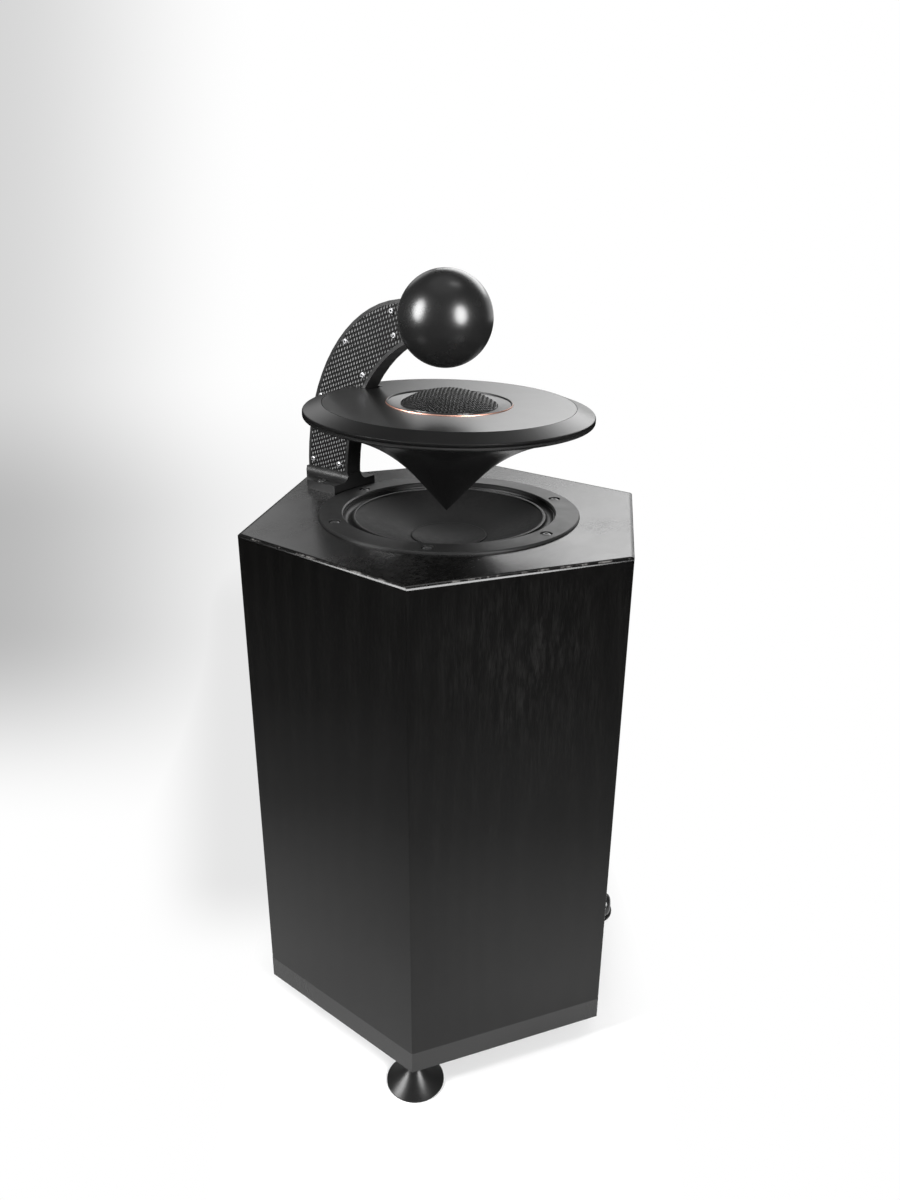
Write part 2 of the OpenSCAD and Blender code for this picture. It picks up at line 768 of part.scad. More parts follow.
module ball() {
    color([0.05, 0.05, 0.05]) translate([0, ball_y, top_z + ball_z]) difference() {
        sphere(r = ball_r);
        rotate([-90, 0, 0]) translate([0, 0, ball_r - 18])
            cylinder(r = ball_stud_r + screw_gap, h = 20);
        rotate([-90, 0, 0]) translate([0, 0, ball_r - 2])
            cylinder(r = ball_collar_r + screw_gap, h = 10);
    }
}

module ball_stud() {
    color(paint_black) translate([0, ball_y, top_z + ball_z]) rotate([-90, 0, 0]) {
        translate([0, 0, ball_r - 17]) cylinder(r = ball_stud_r, h = 17 + ball_gap + ball_stud_in);
        translate([0, 0, ball_r - 2]) cylinder(r = ball_collar_r, h = ball_gap + 1.5);
    }
}

module tweeter_lead() {
    color([0.06, 0.06, 0.06]) for (i = [0:len(lead_route) - 2]) {
        a = lead_route[i];
        b = lead_route[i + 1];
        rod([lead_x, a[0], top_z + a[1]], [lead_x, b[0], top_z + b[1]], lead_r);
        if (i > 0) translate([lead_x, a[0], top_z + a[1]]) rotate([0, 90, 0]) sphere(r = lead_bend_r);
    }
}

// Reflector, with heights counted from the cabinet's top before it leans

cavity_r = 44;
cavity_z = 60;

// How far the underside's handles reach from the point and from the rim
tip_pull = [31, 32];
rim_pull = [78.2, 24.3];

face_seat_z = seam_z - 4;
slot_low_z = 40;
lead_exit_z = face_seat_z - 1.7;

module arm_slot() {
    half_w = arm_t / 2 + slot_gap;
    translate([-half_w, slot_y, top_z + slot_low_z]) cube([2 * half_w, rim_r, seam_z]);
}

// The underside sweeps from the point at 46 degrees to a shallow slope at the rim
module reflector_body() {
    tip = [0, tip_z];
    rim_low = [rim_r - rim_round, rim_low_z];
    underside = [for (i = [0:24]) bezier(tip, tip + tip_pull, rim_low - rim_pull, rim_low, i / 24)];
    lip_low = arc([rim_r - rim_round, rim_low_z + rim_round], rim_round, -80, 0, 4);
    lip_top = arc([rim_r - rim_round, rim_top_z - rim_round], rim_round, 0, 70, 4);
    color(paint_black) leaned() difference() {
        translate([0, 0, top_z]) rotate_extrude() polygon(concat(underside, lip_low, lip_top,
            [[seam_r + seam_gap / 2, seam_z], [seam_r + seam_gap / 2, seam_z - top_plate_t],
            [copper_r + 0.2, seam_z - top_plate_t], [copper_r + 0.2, face_seat_z],
            [cavity_r, face_seat_z], [cavity_r, cavity_z], [0, cavity_z]]));
        arm_slot();
        translate([-tongue_half_w - tongue_gap, tongue_in_y - tongue_gap,
            top_z + tongue_low_z])
            cube([2 * (tongue_half_w + tongue_gap), 40, 30]);
        translate([lead_x, cavity_r - 5, top_z + lead_exit_z]) rotate([-90, 0, 0])
            cylinder(r = lead_r + lead_exit_gap, h = 20, $fn = 32);
        for (y = tongue_screw_y) translate([tongue_screw_x, y,
            top_z + tongue_top_z - tongue_screw_l])
            cylinder(r = tongue_screw_r + screw_gap, h = 20);
        at_face_screws() translate([0, 0, -face_screw_l - 0.5])
            cylinder(r = face_screw_r + screw_gap, h = face_screw_l + 4);
    }
}

module reflector_top() {
    color(paint_black) leaned() difference() {
        translate([0, 0, top_z])
            ring(seam_r - seam_gap / 2, copper_r + 0.2, seam_z - top_plate_t, seam_z);
        arm_slot();
    }
}

module reflector_screws() {
    color(steel) leaned() for (y = tongue_screw_y)
        translate([tongue_screw_x, y, top_z + tongue_top_z])
        socket_screw(tongue_head_r, tongue_head_h, tongue_screw_r, tongue_screw_l - 0.5, 1.4);
}

// Tweeter, with heights counted from the cabinet's top before it leans

face_t = 2.2;
face_r = copper_r - copper_w - 0.1;
face_top_z = face_seat_z + face_t;
face_hole_r = dome_r + 5;
face_screw_r = 1.75;
face_screw_l = 9;
face_screw_pitch_r = 47.6;
tweeter_gap = 0.6;
tweeter_former_t = 0.2;
tweeter_winding_t = 0.4;
tweeter_plate_t = 4;
tweeter_magnet_t = 12;
tweeter_cup_t = 6;
dome_t = 0.3;
dome_z = face_seat_z + 0.9;
tweeter_bore_r = dome_r + tweeter_winding_t + tweeter_gap;

module at_face_screws() {
    for (az = [45:90:315]) rotate([0, 0, az])
        translate([face_screw_pitch_r, 0, top_z + face_top_z - 1.6]) children();
}

module tweeter_faceplate() {
    color([0.12, 0.12, 0.12]) leaned() difference() {
        translate([0, 0, top_z]) ring(face_r, face_hole_r, face_seat_z, face_top_z);
        at_face_screws() translate([0, 0, -face_t]) cylinder(r = face_screw_r + hole_gap,
            h = 2 * face_t);
        at_face_screws() cylinder(r = 2.4, h = face_t);
    }
}

module tweeter_cover_ring() {
    color([0.2, 0.2, 0.2]) leaned() translate([0, 0, top_z]) rotate_extrude() polygon([
        [mesh_r + 0.1, face_top_z], [face_r, face_top_z], [face_r, seam_z - 0.5],
        [face_r - 0.3, seam_z - 0.2], [mesh_r + 0.1, face_top_z + 0.4]]);
}

module tweeter_copper_ring() {
    color([0.85, 0.5, 0.38]) leaned() translate([0, 0, top_z]) rotate_extrude() polygon([
        [copper_r - copper_w, face_seat_z], [copper_r, face_seat_z],
        [copper_r, seam_z + copper_proud - 0.3], [copper_r - 0.3, seam_z + copper_proud],
        [copper_r - copper_w + 0.3, seam_z + copper_proud],
        [copper_r - copper_w, seam_z + copper_proud - 0.3]]);
}

// A shallow cap of a sphere, worked out as a curve of height h over radius r
function cap_curve(r, h, z, n = 14) =
    let (big = (r * r + h * h) / (2 * h), half = asin(r / big))
    [for (i = [0:n]) [big * sin(half * (1 - i / n)), z + h - big + big * cos(half * (1 - i / n))]];

module tweeter_grille() {
    outer = cap_curve(mesh_r, mesh_h, face_top_z + 0.8);
    inner = cap_curve(mesh_r - mesh_t, mesh_h - mesh_t, face_top_z + 0.8);
    color([0.09, 0.09, 0.09]) leaned() translate([0, 0, top_z]) rotate_extrude()
        polygon(concat([[mesh_r - 1.6, face_top_z], [mesh_r, face_top_z]], outer,
            reversed(inner), [[mesh_r - 1.6, face_top_z + 0.8]]));
}

module tweeter_dome() {
    outer = cap_curve(dome_r, dome_h, dome_z);
    inner = cap_curve(dome_r - dome_t, dome_h - dome_t, dome_z);
    color([0.07, 0.07, 0.07]) leaned() translate([0, 0, top_z]) rotate_extrude()
        polygon(concat([[dome_r, dome_z - 0.4]], outer, reversed(inner),
            [[dome_r - dome_t, dome_z - 0.4]]));
}

module tweeter_surround() {
    rubber_t = 0.25;
    r0 = dome_r;
    r1 = face_hole_r - 2;
    under = roll(r0 + 0.3, r1, dome_z - 0.3, face_seat_z, 0.9);
    color([0.05, 0.05, 0.05]) leaned() translate([0, 0, top_z]) rotate_extrude()
        polygon(concat([[r0, dome_z - 0.3]], under,
            [[face_hole_r - 0.1, face_seat_z], [face_hole_r - 0.1, face_seat_z + rubber_t]],
            reversed([for (p = under) p + [0, rubber_t]]), [[r0, dome_z - 0.3 + rubber_t]]));
}

module tweeter_voice_coil() {
    low = dome_z - 8;
    leaned() translate([0, 0, top_z]) {
        color([0.8, 0.8, 0.8]) ring(dome_r - tweeter_former_t, dome_r - 2 * tweeter_former_t,
            low, dome_z - 0.4);
        color([0.72, 0.4, 0.22]) ring(dome_r - tweeter_former_t + tweeter_winding_t,
            dome_r - tweeter_former_t, low, low + 3.4);
    }
}

module tweeter_front_plate() {
    color(steel) leaned() translate([0, 0, top_z])
        ring(tweeter_magnet_r - 2, tweeter_bore_r, face_seat_z - tweeter_plate_t, face_seat_z);
}

module tweeter_magnet() {
    z1 = face_seat_z - tweeter_plate_t;
    color(ferrite) leaned() translate([0, 0, top_z])
        ring(tweeter_magnet_r, tweeter_bore_r + 3, z1 - tweeter_magnet_t, z1);
}

module tweeter_cup() {
    z1 = face_seat_z - tweeter_plate_t - tweeter_magnet_t;
    pole = dome_r - 2 * tweeter_former_t - tweeter_gap;
    color(steel) leaned() translate([0, 0, top_z]) rotate_extrude() polygon([
        [0, z1 - tweeter_cup_t], [tweeter_magnet_r - 2, z1 - tweeter_cup_t],
        [tweeter_magnet_r - 2, z1], [pole, z1], [pole, face_seat_z - 0.6],
        [0, face_seat_z - 0.6]]);
}

module tweeter_screws() {
    color(steel) leaned() at_face_screws() difference() {
        union() {
            cylinder(r = 2.3, h = 1.5);
            translate([0, 0, -face_screw_l]) cylinder(r = face_screw_r, h = face_screw_l + 0.5);
        }
        translate([0, 0, 0.5]) cylinder(r = 1.1, h = 2, $fn = 6);
    }
}

// Terminals, on the back panel that faces between +X and +Y

terminal_height = bottom_z + terminal_z;
terminal_hole_r = 26;
terminal_t = 3;
terminal_screw_r = 1.75;
terminal_screw_l = 14;
terminal_screw_in = 7;
post_r = 3;
post_flange_r = 5.4;
post_flange_t = 2;
nut_r = 5.5;
nut_t = 3;
washer_r = 6;
washer_t = 1.2;
post_l = terminal_t + post_flange_t + washer_t + knob_l + 1;

// +X across the panel, +Y up and +Z out of the panel
module at_terminals() {
    rotate([0, 0, 60]) translate([apothem, 0, terminal_height]) rotate([90, 0, 90]) children();
}

// The plate screws, seen from the unturned panel that the panel's own module turns
module at_plate_screws() {
    translate([apothem, 0, terminal_height]) rotate([90, 0, 90]) at_plate_corners() children();
}

module at_plate_corners() {
    for (x = [-1, 1], y = [-1, 1]) translate([x * (terminal_w / 2 - terminal_screw_in),
        y * (terminal_h / 2 - terminal_screw_in), 0]) children();
}

module at_post(side) {
    at_terminals() translate([side * post_pitch / 2, 0, 0]) children();
}

module terminal_plate() {
    corner = 5;
    color([0.06, 0.06, 0.06]) at_terminals() difference() {
        linear_extrude(terminal_t) difference() {
            square([terminal_w, terminal_h], center = true);
            for (x = [-1, 1], y = [-1, 1]) translate([x * (terminal_w / 2 - corner / 2 + 0.1),
                y * (terminal_h / 2 - corner / 2 + 0.1)]) difference() {
                square(corner + 0.2, center = true);
                translate([-x * (corner / 2 + 0.1), -y * (corner / 2 + 0.1)])
                    circle(r = corner);
            }
        }
        for (side = [-1, 1]) translate([side * post_pitch / 2, 0, -eps])
            cylinder(r = post_r + hole_gap, h = terminal_t + 2 * eps);
        at_plate_corners() translate([0, 0, -eps])
            cylinder(r = terminal_screw_r + hole_gap, h = terminal_t + 2 * eps);
    }
}

module terminal_screws() {
    color([0.1, 0.1, 0.1]) at_terminals() at_plate_corners() translate([0, 0, terminal_t])
        socket_screw(3.2, 1.7, terminal_screw_r, terminal_screw_l + terminal_t - 2, 1.2);
}

// A threaded post with a flange on the plate and a socket in its free end
module binding_posts() {
    back = 18;
    color(brass_gold) for (side = [-1, 1]) at_post(side) difference() {
        union() {
            translate([0, 0, -back]) cylinder(r = post_r, h = back + post_l);
            translate([0, 0, terminal_t]) cylinder(r = post_flange_r, h = post_flange_t);
        }
        translate([0, 0, post_l - socket_depth]) cylinder(r = socket_r, h = socket_depth + eps);
    }
}

module post_nuts() {
    color(brass_gold) for (side = [-1, 1]) at_post(side) translate([0, 0, -nut_t]) difference() {
        cylinder(r = nut_r, h = nut_t, $fn = 6);
        translate([0, 0, -eps]) cylinder(r = post_r + screw_gap, h = nut_t + 2 * eps);
    }
}

// A fluted plastic knob on the post's thread
module knob(side, shade) {
    flutes = 12;
    color(shade) at_post(side) translate([0, 0, terminal_t + post_flange_t + washer_t])
        difference() {
            rotate_extrude() polygon([[post_r + screw_gap, 0], [knob_r - 1, 0], [knob_r, 1],
                [knob_r, knob_l - 1.5], [knob_r - 1.5, knob_l], [post_r + screw_gap, knob_l]]);
            for (i = [0:flutes - 1]) rotate([0, 0, 360 * i / flutes])
                translate([knob_r + 0.5, 0, 1.5]) cylinder(r = 1.1, h = knob_l, $fn = 24);
        }
}

module clamp_washer(side) {
    color(brass_gold) at_post(side) translate([0, 0, terminal_t + post_flange_t])
        ring(washer_r, post_r + screw_gap, 0, washer_t);
}

// Crossover, on the bottom panel

board_w = 130;
board_d = 100;
board_t = 4;
board_x = -15;
board_y = -20;
board_z = bottom_z + bottom_t;
coil_h = 18;
crossover_coil_r = 24;
coil_bore_r = 12;
crossover_coil_x = [-38, 22];
crossover_coil_y = 22;
capacitor_r = 12;
capacitor_l = 38;
capacitor_x = [-40, -12, 16, 44];
capacitor_y = -45;

module crossover_board() {
    color([0.1, 0.3, 0.14]) translate([board_x - board_w / 2, board_y - board_d / 2, board_z])
        cube([board_w, board_d, board_t]);
}

module crossover_coils() {
    color([0.75, 0.42, 0.22]) for (x = crossover_coil_x)
        translate([board_x + x, board_y + crossover_coil_y, board_z + board_t])
            ring(crossover_coil_r, coil_bore_r, 0, coil_h);
}

module crossover_capacitors() {
    color([0.85, 0.8, 0.7]) for (x = capacitor_x)
        translate([board_x + x, board_y + capacitor_y, board_z + board_t + capacitor_r])
            rotate([-90, 0, 0]) cylinder(r = capacitor_r, h = capacitor_l);
}

side_panel(1);  // side_panel_1
side_panel(2);  // side_panel_2
side_panel(3);  // side_panel_3
side_panel(4);  // side_panel_4
side_panel(5);  // side_panel_5
side_panel(6);  // side_panel_6
top_panel();
bottom_panel();
brace_ring();
damping_felt();
foot_inserts();
foot(0);  // foot_1
foot(1);  // foot_2
foot(2);  // foot_3
foot_stud(0);  // foot_stud_1
foot_stud(1);  // foot_stud_2
foot_stud(2);  // foot_stud_3
woofer_frame();
woofer_front_plate();
woofer_magnet();
woofer_pole();
woofer_cone();
woofer_dust_cap();
woofer_voice_coil();
woofer_spider();
woofer_surround();
woofer_screws();
arm_core();
arm_plate(-1);  // arm_plate_left
arm_plate(1);  // arm_plate_right
arm_plate_screws();
arm_base_screws();
ball();
ball_stud();
tweeter_lead();
reflector_body();
reflector_top();
reflector_screws();
tweeter_faceplate();
tweeter_cover_ring();
tweeter_copper_ring();
tweeter_grille();
tweeter_dome();
tweeter_surround();
tweeter_voice_coil();
tweeter_front_plate();
tweeter_magnet();
tweeter_cup();
tweeter_screws();
terminal_plate();
terminal_screws();
binding_posts();
post_nuts();
knob(-1, [0.6, 0.05, 0.05]);  // knob_red
knob(1, [0.05, 0.05, 0.05]);  // knob_black
clamp_washer(-1);  // clamp_washer_red
clamp_washer(1);  // clamp_washer_black
crossover_board();
crossover_coils();
crossover_capacitors();
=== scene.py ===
# %% [markdown]
# # An omnidirectional loudspeaker
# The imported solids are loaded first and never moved: they are the frame that every piece
# made here has to fit. The floor is at height 0 and both drivers share the Z axis. The arm
# stands over the cabinet's corner on the +Y side.

# %% Load the frame
import math

import bmesh
import bpy
import numpy as np
from mathutils import Matrix, Vector


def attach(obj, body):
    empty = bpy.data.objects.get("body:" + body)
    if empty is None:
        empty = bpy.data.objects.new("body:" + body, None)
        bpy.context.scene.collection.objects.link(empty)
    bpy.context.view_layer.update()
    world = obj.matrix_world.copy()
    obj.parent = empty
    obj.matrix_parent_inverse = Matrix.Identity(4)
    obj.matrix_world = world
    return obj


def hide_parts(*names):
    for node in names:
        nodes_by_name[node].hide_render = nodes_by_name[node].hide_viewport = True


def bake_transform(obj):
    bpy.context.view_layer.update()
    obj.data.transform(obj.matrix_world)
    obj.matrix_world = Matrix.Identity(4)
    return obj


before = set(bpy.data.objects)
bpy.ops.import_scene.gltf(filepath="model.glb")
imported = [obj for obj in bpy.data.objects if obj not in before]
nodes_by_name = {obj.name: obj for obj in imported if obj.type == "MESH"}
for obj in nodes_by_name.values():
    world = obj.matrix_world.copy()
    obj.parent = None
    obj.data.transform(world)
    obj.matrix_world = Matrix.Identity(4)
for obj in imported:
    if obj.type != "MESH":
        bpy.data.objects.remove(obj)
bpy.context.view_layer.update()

# %% [markdown]
# Blender counts in metres. A maker's drawing is in millimetres, so profiles are written in
# them and multiplied by MM. A few sizes are needed again and again: the cabinet's top, the
# seam round the reflector's flat top, how far the reflector leans, and how far the hexagon's
# corners and sides lie from the axis.

# %% Shared sizes
MM = 0.001
TURN = 2 * math.pi
TOP = 0.468
SEAM_RISE = 92.6
SEAM = TOP + SEAM_RISE * MM
LEAN = math.radians(1.7)
CORNER_R = 178
APOTHEM = CORNER_R * MM * math.cos(math.radians(30))
print("cabinet's sides", round(APOTHEM, 4), "m from the axis, seam", round(SEAM, 4), "m up")

# %% [markdown]
# Most of a loudspeaker is turned on a lathe or pressed: a profile goes round an axis.
# Blender's Spin tool could do that, or a Screw modifier. A grid of points worked out with
# numpy says it directly and leaves every size a plain number: one parameter runs along the
# profile and the other round the axis.

# %% Surfaces from grids of points
def closed_skin(name, points, smooth_angle=32):
    """Joins a grid of points, shape (rows, columns, 3), into four-sided faces.

    The last row meets the first and the last column meets the first. Doubled points are
    merged, the faces turned outwards, and all but the sharp edges smoothed.
    """
    rows, cols = points.shape[:2]
    index = np.pad(np.arange(rows * cols).reshape(rows, cols), (0, 1), mode="wrap")
    quads = np.stack([index[:-1, :-1], index[:-1, 1:], index[1:, 1:], index[1:, :-1]], -1)
    mesh = bpy.data.meshes.new(name)
    mesh.from_pydata(points.reshape(-1, 3).tolist(), [], quads.reshape(-1, 4).tolist())
    work = bmesh.new()
    work.from_mesh(mesh)
    bmesh.ops.remove_doubles(work, verts=work.verts, dist=1e-6)
    bmesh.ops.recalc_face_normals(work, faces=work.faces)
    work.to_mesh(mesh)
    work.free()
    mesh.shade_smooth()
    mesh.set_sharp_from_angle(angle=math.radians(smooth_angle))
    return mesh


def turned(profile, steps=144):
    """Carries a closed profile of (radius, height) in millimetres round the Z axis.

    X is the radius times the cosine of the angle, Y is the radius times its sine.
    """
    profile = np.asarray(profile, float) * MM
    angle = np.arange(steps) * TURN / steps
    grid = np.empty((len(profile), steps, 3))
    grid[..., 0] = profile[:, :1] * np.cos(angle)
    grid[..., 1] = profile[:, :1] * np.sin(angle)
    grid[..., 2] = profile[:, 1:]
    return grid


def leaned(points):
    """Turns points by LEAN about the line along X that crosses the axis at the seam.

    With z counted from the seam, y becomes y cos - z sin, and z becomes y sin + z cos.
    """
    y, z = points[..., 1], points[..., 2] - SEAM
    out = points.copy()
    out[..., 1] = y * math.cos(LEAN) - z * math.sin(LEAN)
    out[..., 2] = SEAM + y * math.sin(LEAN) + z * math.cos(LEAN)
    return out


def piece(name, mesh, body, replaces=()):
    """Puts a mesh in the scene, on the body that carries it, in place of the solids named."""
    obj = bpy.data.objects.new(name, mesh)
    bpy.context.scene.collection.objects.link(obj)
    if body:
        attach(obj, body)
    if replaces:
        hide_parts(*replaces)
    print(name, len(mesh.polygons), "faces")
    return obj


print("grid and lathe ready")

# %% [markdown]
# A finish is a small network of nodes. It could be drawn by hand in the shader editor, but a
# script can be read and changed in one place. These helpers keep each finish to a few lines.
# The first class adds and joins nodes in any network, the floor's and the world's too.

# %% Helpers for networks of nodes
class Nodes:
    """Short calls that add nodes to one network and join them."""

    def __init__(self, tree):
        self.tree = tree

    def feed(self, socket, value):
        """Joins a socket to an output, or sets it to a plain value."""
        if isinstance(value, bpy.types.NodeSocket):
            self.tree.links.new(value, socket)
        else:
            socket.default_value = value

    def add(self, kind, settings=None, **sockets):
        """A new node. A socket is named, with _ for a space, or i0, i1, i2 by its place."""
        node = self.tree.nodes.new("ShaderNode" + kind)
        for key, value in (settings or {}).items():
            setattr(node, key, value)
        for key, value in sockets.items():
            by_place = key[0] == "i" and key[1:].isdigit()
            self.feed(node.inputs[int(key[1:]) if by_place else key.replace("_", " ")], value)
        return node

    def spot(self):
        """Where a point of the surface lies, in the piece's own coordinates."""
        return self.add("TexCoord").outputs["Object"]

    def scaled(self, vector, scale):
        return self.add("Mapping", Vector=vector, Scale=scale).outputs[0]

    def vector_math(self, operation, a, b, c=(0, 0, 0)):
        return self.add("VectorMath", {"operation": operation}, i0=a, i1=b, i2=c).outputs[0]

    def dot(self, vector, direction):
        """How far a vector reaches along a direction."""
        return self.add("VectorMath", {"operation": "DOT_PRODUCT"}, i0=vector,
                        i1=direction).outputs["Value"]

    def part(self, vector, axis):
        """One of a vector's three numbers, by its letter."""
        return self.add("SeparateXYZ", Vector=vector).outputs[axis]

    def math(self, operation, a, b=0.0, c=0.0, clamp=False):
        return self.add("Math", {"operation": operation, "use_clamp": clamp},
                        i0=a, i1=b, i2=c).outputs[0]

    def between(self, value, start, end, low=0.0, high=1.0, soft=False):
        """Low where the value is start, high where it is end, and flat beyond them."""
        kind = "SMOOTHSTEP" if soft else "LINEAR"
        return self.add("MapRange", {"interpolation_type": kind}, Value=value, From_Min=start,
                        From_Max=end, To_Min=low, To_Max=high).outputs[0]

    def noise(self, vector, scale, detail=3.0, rough=0.5):
        return self.add("TexNoise", Vector=vector, Scale=scale, Detail=detail,
                        Roughness=rough).outputs["Fac"]

    def ramp(self, value, stops):
        """Maps a value to colours or greys given as (place, grey or colour)."""
        node = self.add("ValToRGB", Fac=value)
        band = node.color_ramp
        while len(band.elements) < len(stops):
            band.elements.new(0.5)
        for element, (place, tone) in zip(band.elements, stops):
            element.position = place
            element.color = grey(tone) if isinstance(tone, (int, float)) else (*tone, 1)
        return node.outputs["Color"]

    def mix(self, factor, a, b):
        """Colour a where the factor is 0, colour b where it is 1."""
        node = self.add("Mix", {"data_type": "RGBA"})
        for key, value in (("Factor", factor), ("A", a), ("B", b)):
            self.feed([s for s in node.inputs if s.name == key and s.enabled][0], value)
        return [s for s in node.outputs if s.enabled][0]


def grey(tone):
    return (tone, tone, tone, 1)


print("node helpers ready")

# %% [markdown]
# A material adds a shader at the end of its network. A value that is the same all over is set
# on the shader itself, and one that varies is joined to it.

# %% Helpers for finishes
class Finish(Nodes):
    """One material. Its plain values are given by their sockets' names, with _ for a space."""

    def __init__(self, name, **plain):
        self.material = bpy.data.materials.new(name)
        self.material.use_nodes = True
        super().__init__(self.material.node_tree)
        self.shader = self.tree.nodes["Principled BSDF"]
        for key, value in plain.items():
            self.shader.inputs[key.replace("_", " ")].default_value = value

    def join(self, output, socket_name):
        self.tree.links.new(output, self.shader.inputs[socket_name])

    def bump(self, height, distance, strength=1.0):
        """Shades as if the surface rose by the height, times the distance in metres."""
        node = self.add("Bump", Height=height, Distance=distance, Strength=strength)
        self.join(node.outputs[0], "Normal")


def paint(obj, material):
    obj.data.materials.clear()
    obj.data.materials.append(material)


print("finish helpers ready")

# %% [markdown]
# The cabinet is veneered and stained black, then lacquered to a satin. Its grain runs up the
# sides. A picture of wood could be laid on it, but that shows seams where the panels meet, and
# a pattern worked out from a point's place has none. Three scales make it: broad arches where
# the log was cut, fibres a millimetre wide, and fine pores. Noise that is scaled down along
# one axis is drawn out into fibres.

# %% Grain of the veneer
ALONG_FIBRES, ALONG_ARCHES = 0.045, 0.16


def along_grain(scale, upright):
    """A scale that draws a pattern out along Z on the sides and along X on the top."""
    return (1, 1, scale) if upright else (scale, 1, 1)


def grain(f, spot, upright):
    """The fibres, the pores and the stain's tone, which is fibres, arches and a slow sway."""
    stretched = f.scaled(spot, along_grain(ALONG_FIBRES, upright))
    arch_spot = f.add("Mapping", Vector=spot, Location=(0.03, 0.11, -0.03),
                      Scale=along_grain(ALONG_ARCHES, upright)).outputs[0]
    arches = f.add("TexWave", {"wave_type": "RINGS", "rings_direction": "SPHERICAL"},
                   Vector=arch_spot, Scale=22, Distortion=3.2, Detail=3,
                   Detail_Roughness=0.9).outputs["Fac"]
    fibres = f.noise(stretched, 900, 4, 0.65)
    pores = f.noise(stretched, 2600, 2, 0.5)
    sway = f.noise(f.scaled(spot, (6, 6, 2)), 1.0, 2.0)
    tone = f.math("MULTIPLY_ADD", fibres, 0.7, f.math("MULTIPLY", arches, 0.10))
    return fibres, pores, f.math("MULTIPLY_ADD", sway, 0.14, tone)


print("grain ready")

# %% [markdown]
# Along the top's edges the stain has worn through in chips, and their pale grey is also a painted
# highlight of the light that the round edges catch. On the right side one place is rubbed into
# streaks that are rougher and painted paler, a painted sheen, and the top and the bottom get such
# streaks in patches. They could be painted on by hand. Masks are used instead, values from 0 to 1
# that say how much of the pale colour shows, because the width of the wear and highlight is then
# one number. The edge is found from how far a point is from the hexagon's sides and top. The
# solids have a small chamfer there, and a bump shades it as the round edge of sanded wood.

# %% Wear, painted highlight and painted sheen of the veneer
WEAR_HIGHLIGHT_IN, WEAR_HIGHLIGHT_DOWN, WEAR_HIGHLIGHT_FADE = 1.3 * MM, 1.4 * MM, 0.9 * MM
EDGE_ROUND = 3.4 * MM
RUBBED_SHEEN_AT = (-0.065, -0.140, 0.400)


def hexagon_reach(f, spot):
    """How far out a point lies, measured square to the nearest of the six sides."""
    best = None
    for azimuth in (0, 60, 120):
        a = math.radians(azimuth)
        across = f.math("ABSOLUTE", f.dot(spot, (math.cos(a), math.sin(a), 0)))
        best = across if best is None else f.math("MAXIMUM", best, across)
    return best


def edge_wear_and_highlight(f, spot, reach, height):
    """Near both the sides and the top, but only where a coarse noise is high."""
    # The worn stain's chips, whose pale grey is also a painted highlight along the top's edges.
    side_edge = f.math("SUBTRACT", reach, APOTHEM - WEAR_HIGHLIGHT_IN)
    top_edge = f.math("SUBTRACT", height, TOP - WEAR_HIGHLIGHT_DOWN)
    on_edge = f.math("MULTIPLY", f.math("MULTIPLY", side_edge, 1 / WEAR_HIGHLIGHT_FADE, clamp=True),
                     f.math("MULTIPLY", top_edge, 1 / WEAR_HIGHLIGHT_FADE, clamp=True))
    chips = f.ramp(f.noise(spot, 95, 5, 0.7), [(0.5, 0.0), (0.6, 1.0)])
    return f.math("MULTIPLY", on_edge, chips)


def rubbed_sheen_streaks(f, spot, upright):
    """Fine streaks inside broad patches. On the sides they fade out away from one place."""
    # The streaks are rougher, and in the veneer's colour they are a painted sheen.
    patch = f.noise(f.scaled(spot, (1, 1, 0.55)), 11, 2, 0.5)
    streaks = f.noise(f.scaled(spot, (1, 1, 0.2)), 240, 6, 0.8)
    start, full = (0.30, 0.48) if upright else (0.46, 0.62)
    rubbed_sheen = f.math("MULTIPLY", f.ramp(patch, [(start, 0.0), (full, 1.0)]),
                    f.ramp(streaks, [(0.46, 0.0), (0.66, 1.0)]))
    if upright:
        away = f.add("VectorMath", {"operation": "DISTANCE"}, i0=spot, i1=RUBBED_SHEEN_AT)
        near = f.ramp(away.outputs["Value"], [(0.02, 1.0), (0.10, 0.0)])
        rubbed_sheen = f.math("MULTIPLY", rubbed_sheen, near)
    return rubbed_sheen


def rounded_edge(f, reach, height):
    """Minus half the square of the distance past the round's start, over its radius."""
    out_part = f.math("MAXIMUM", f.math("SUBTRACT", reach, APOTHEM - EDGE_ROUND), 0.0)
    up_part = f.math("MAXIMUM", f.math("SUBTRACT", height, TOP - EDGE_ROUND), 0.0)
    squares = f.math("ADD", f.math("POWER", out_part, 2.0), f.math("POWER", up_part, 2.0))
    return f.math("MULTIPLY", squares, -0.5 / EDGE_ROUND)


print("wear ready")

# %% [markdown]
# The two veneers share one recipe. Only the grain's direction and the lacquer differ: the top
# is rubbed duller by the hand that dusts it.

# %% Black veneer
STAIN = [(0.35, (0.0016, 0.00155, 0.0015)), (0.50, (0.0023, 0.0022, 0.0021)),
         (0.65, (0.0040, 0.0039, 0.0037))]
# The rubbed tone is a painted sheen, and the worn tone is worn stain and a painted highlight.
RUBBED_SHEEN_TONE, WEAR_AND_HIGHLIGHT_TONE = (0.016, 0.0155, 0.015, 1), (0.16, 0.155, 0.15, 1)
GLOSS_SIDES = [(0.36, 0.12), (0.54, 0.15), (0.70, 0.28)]
GLOSS_TOP = [(0.3, 0.19), (0.5, 0.24), (0.72, 0.32)]
GRAIN_DEPTH = 0.022 * MM


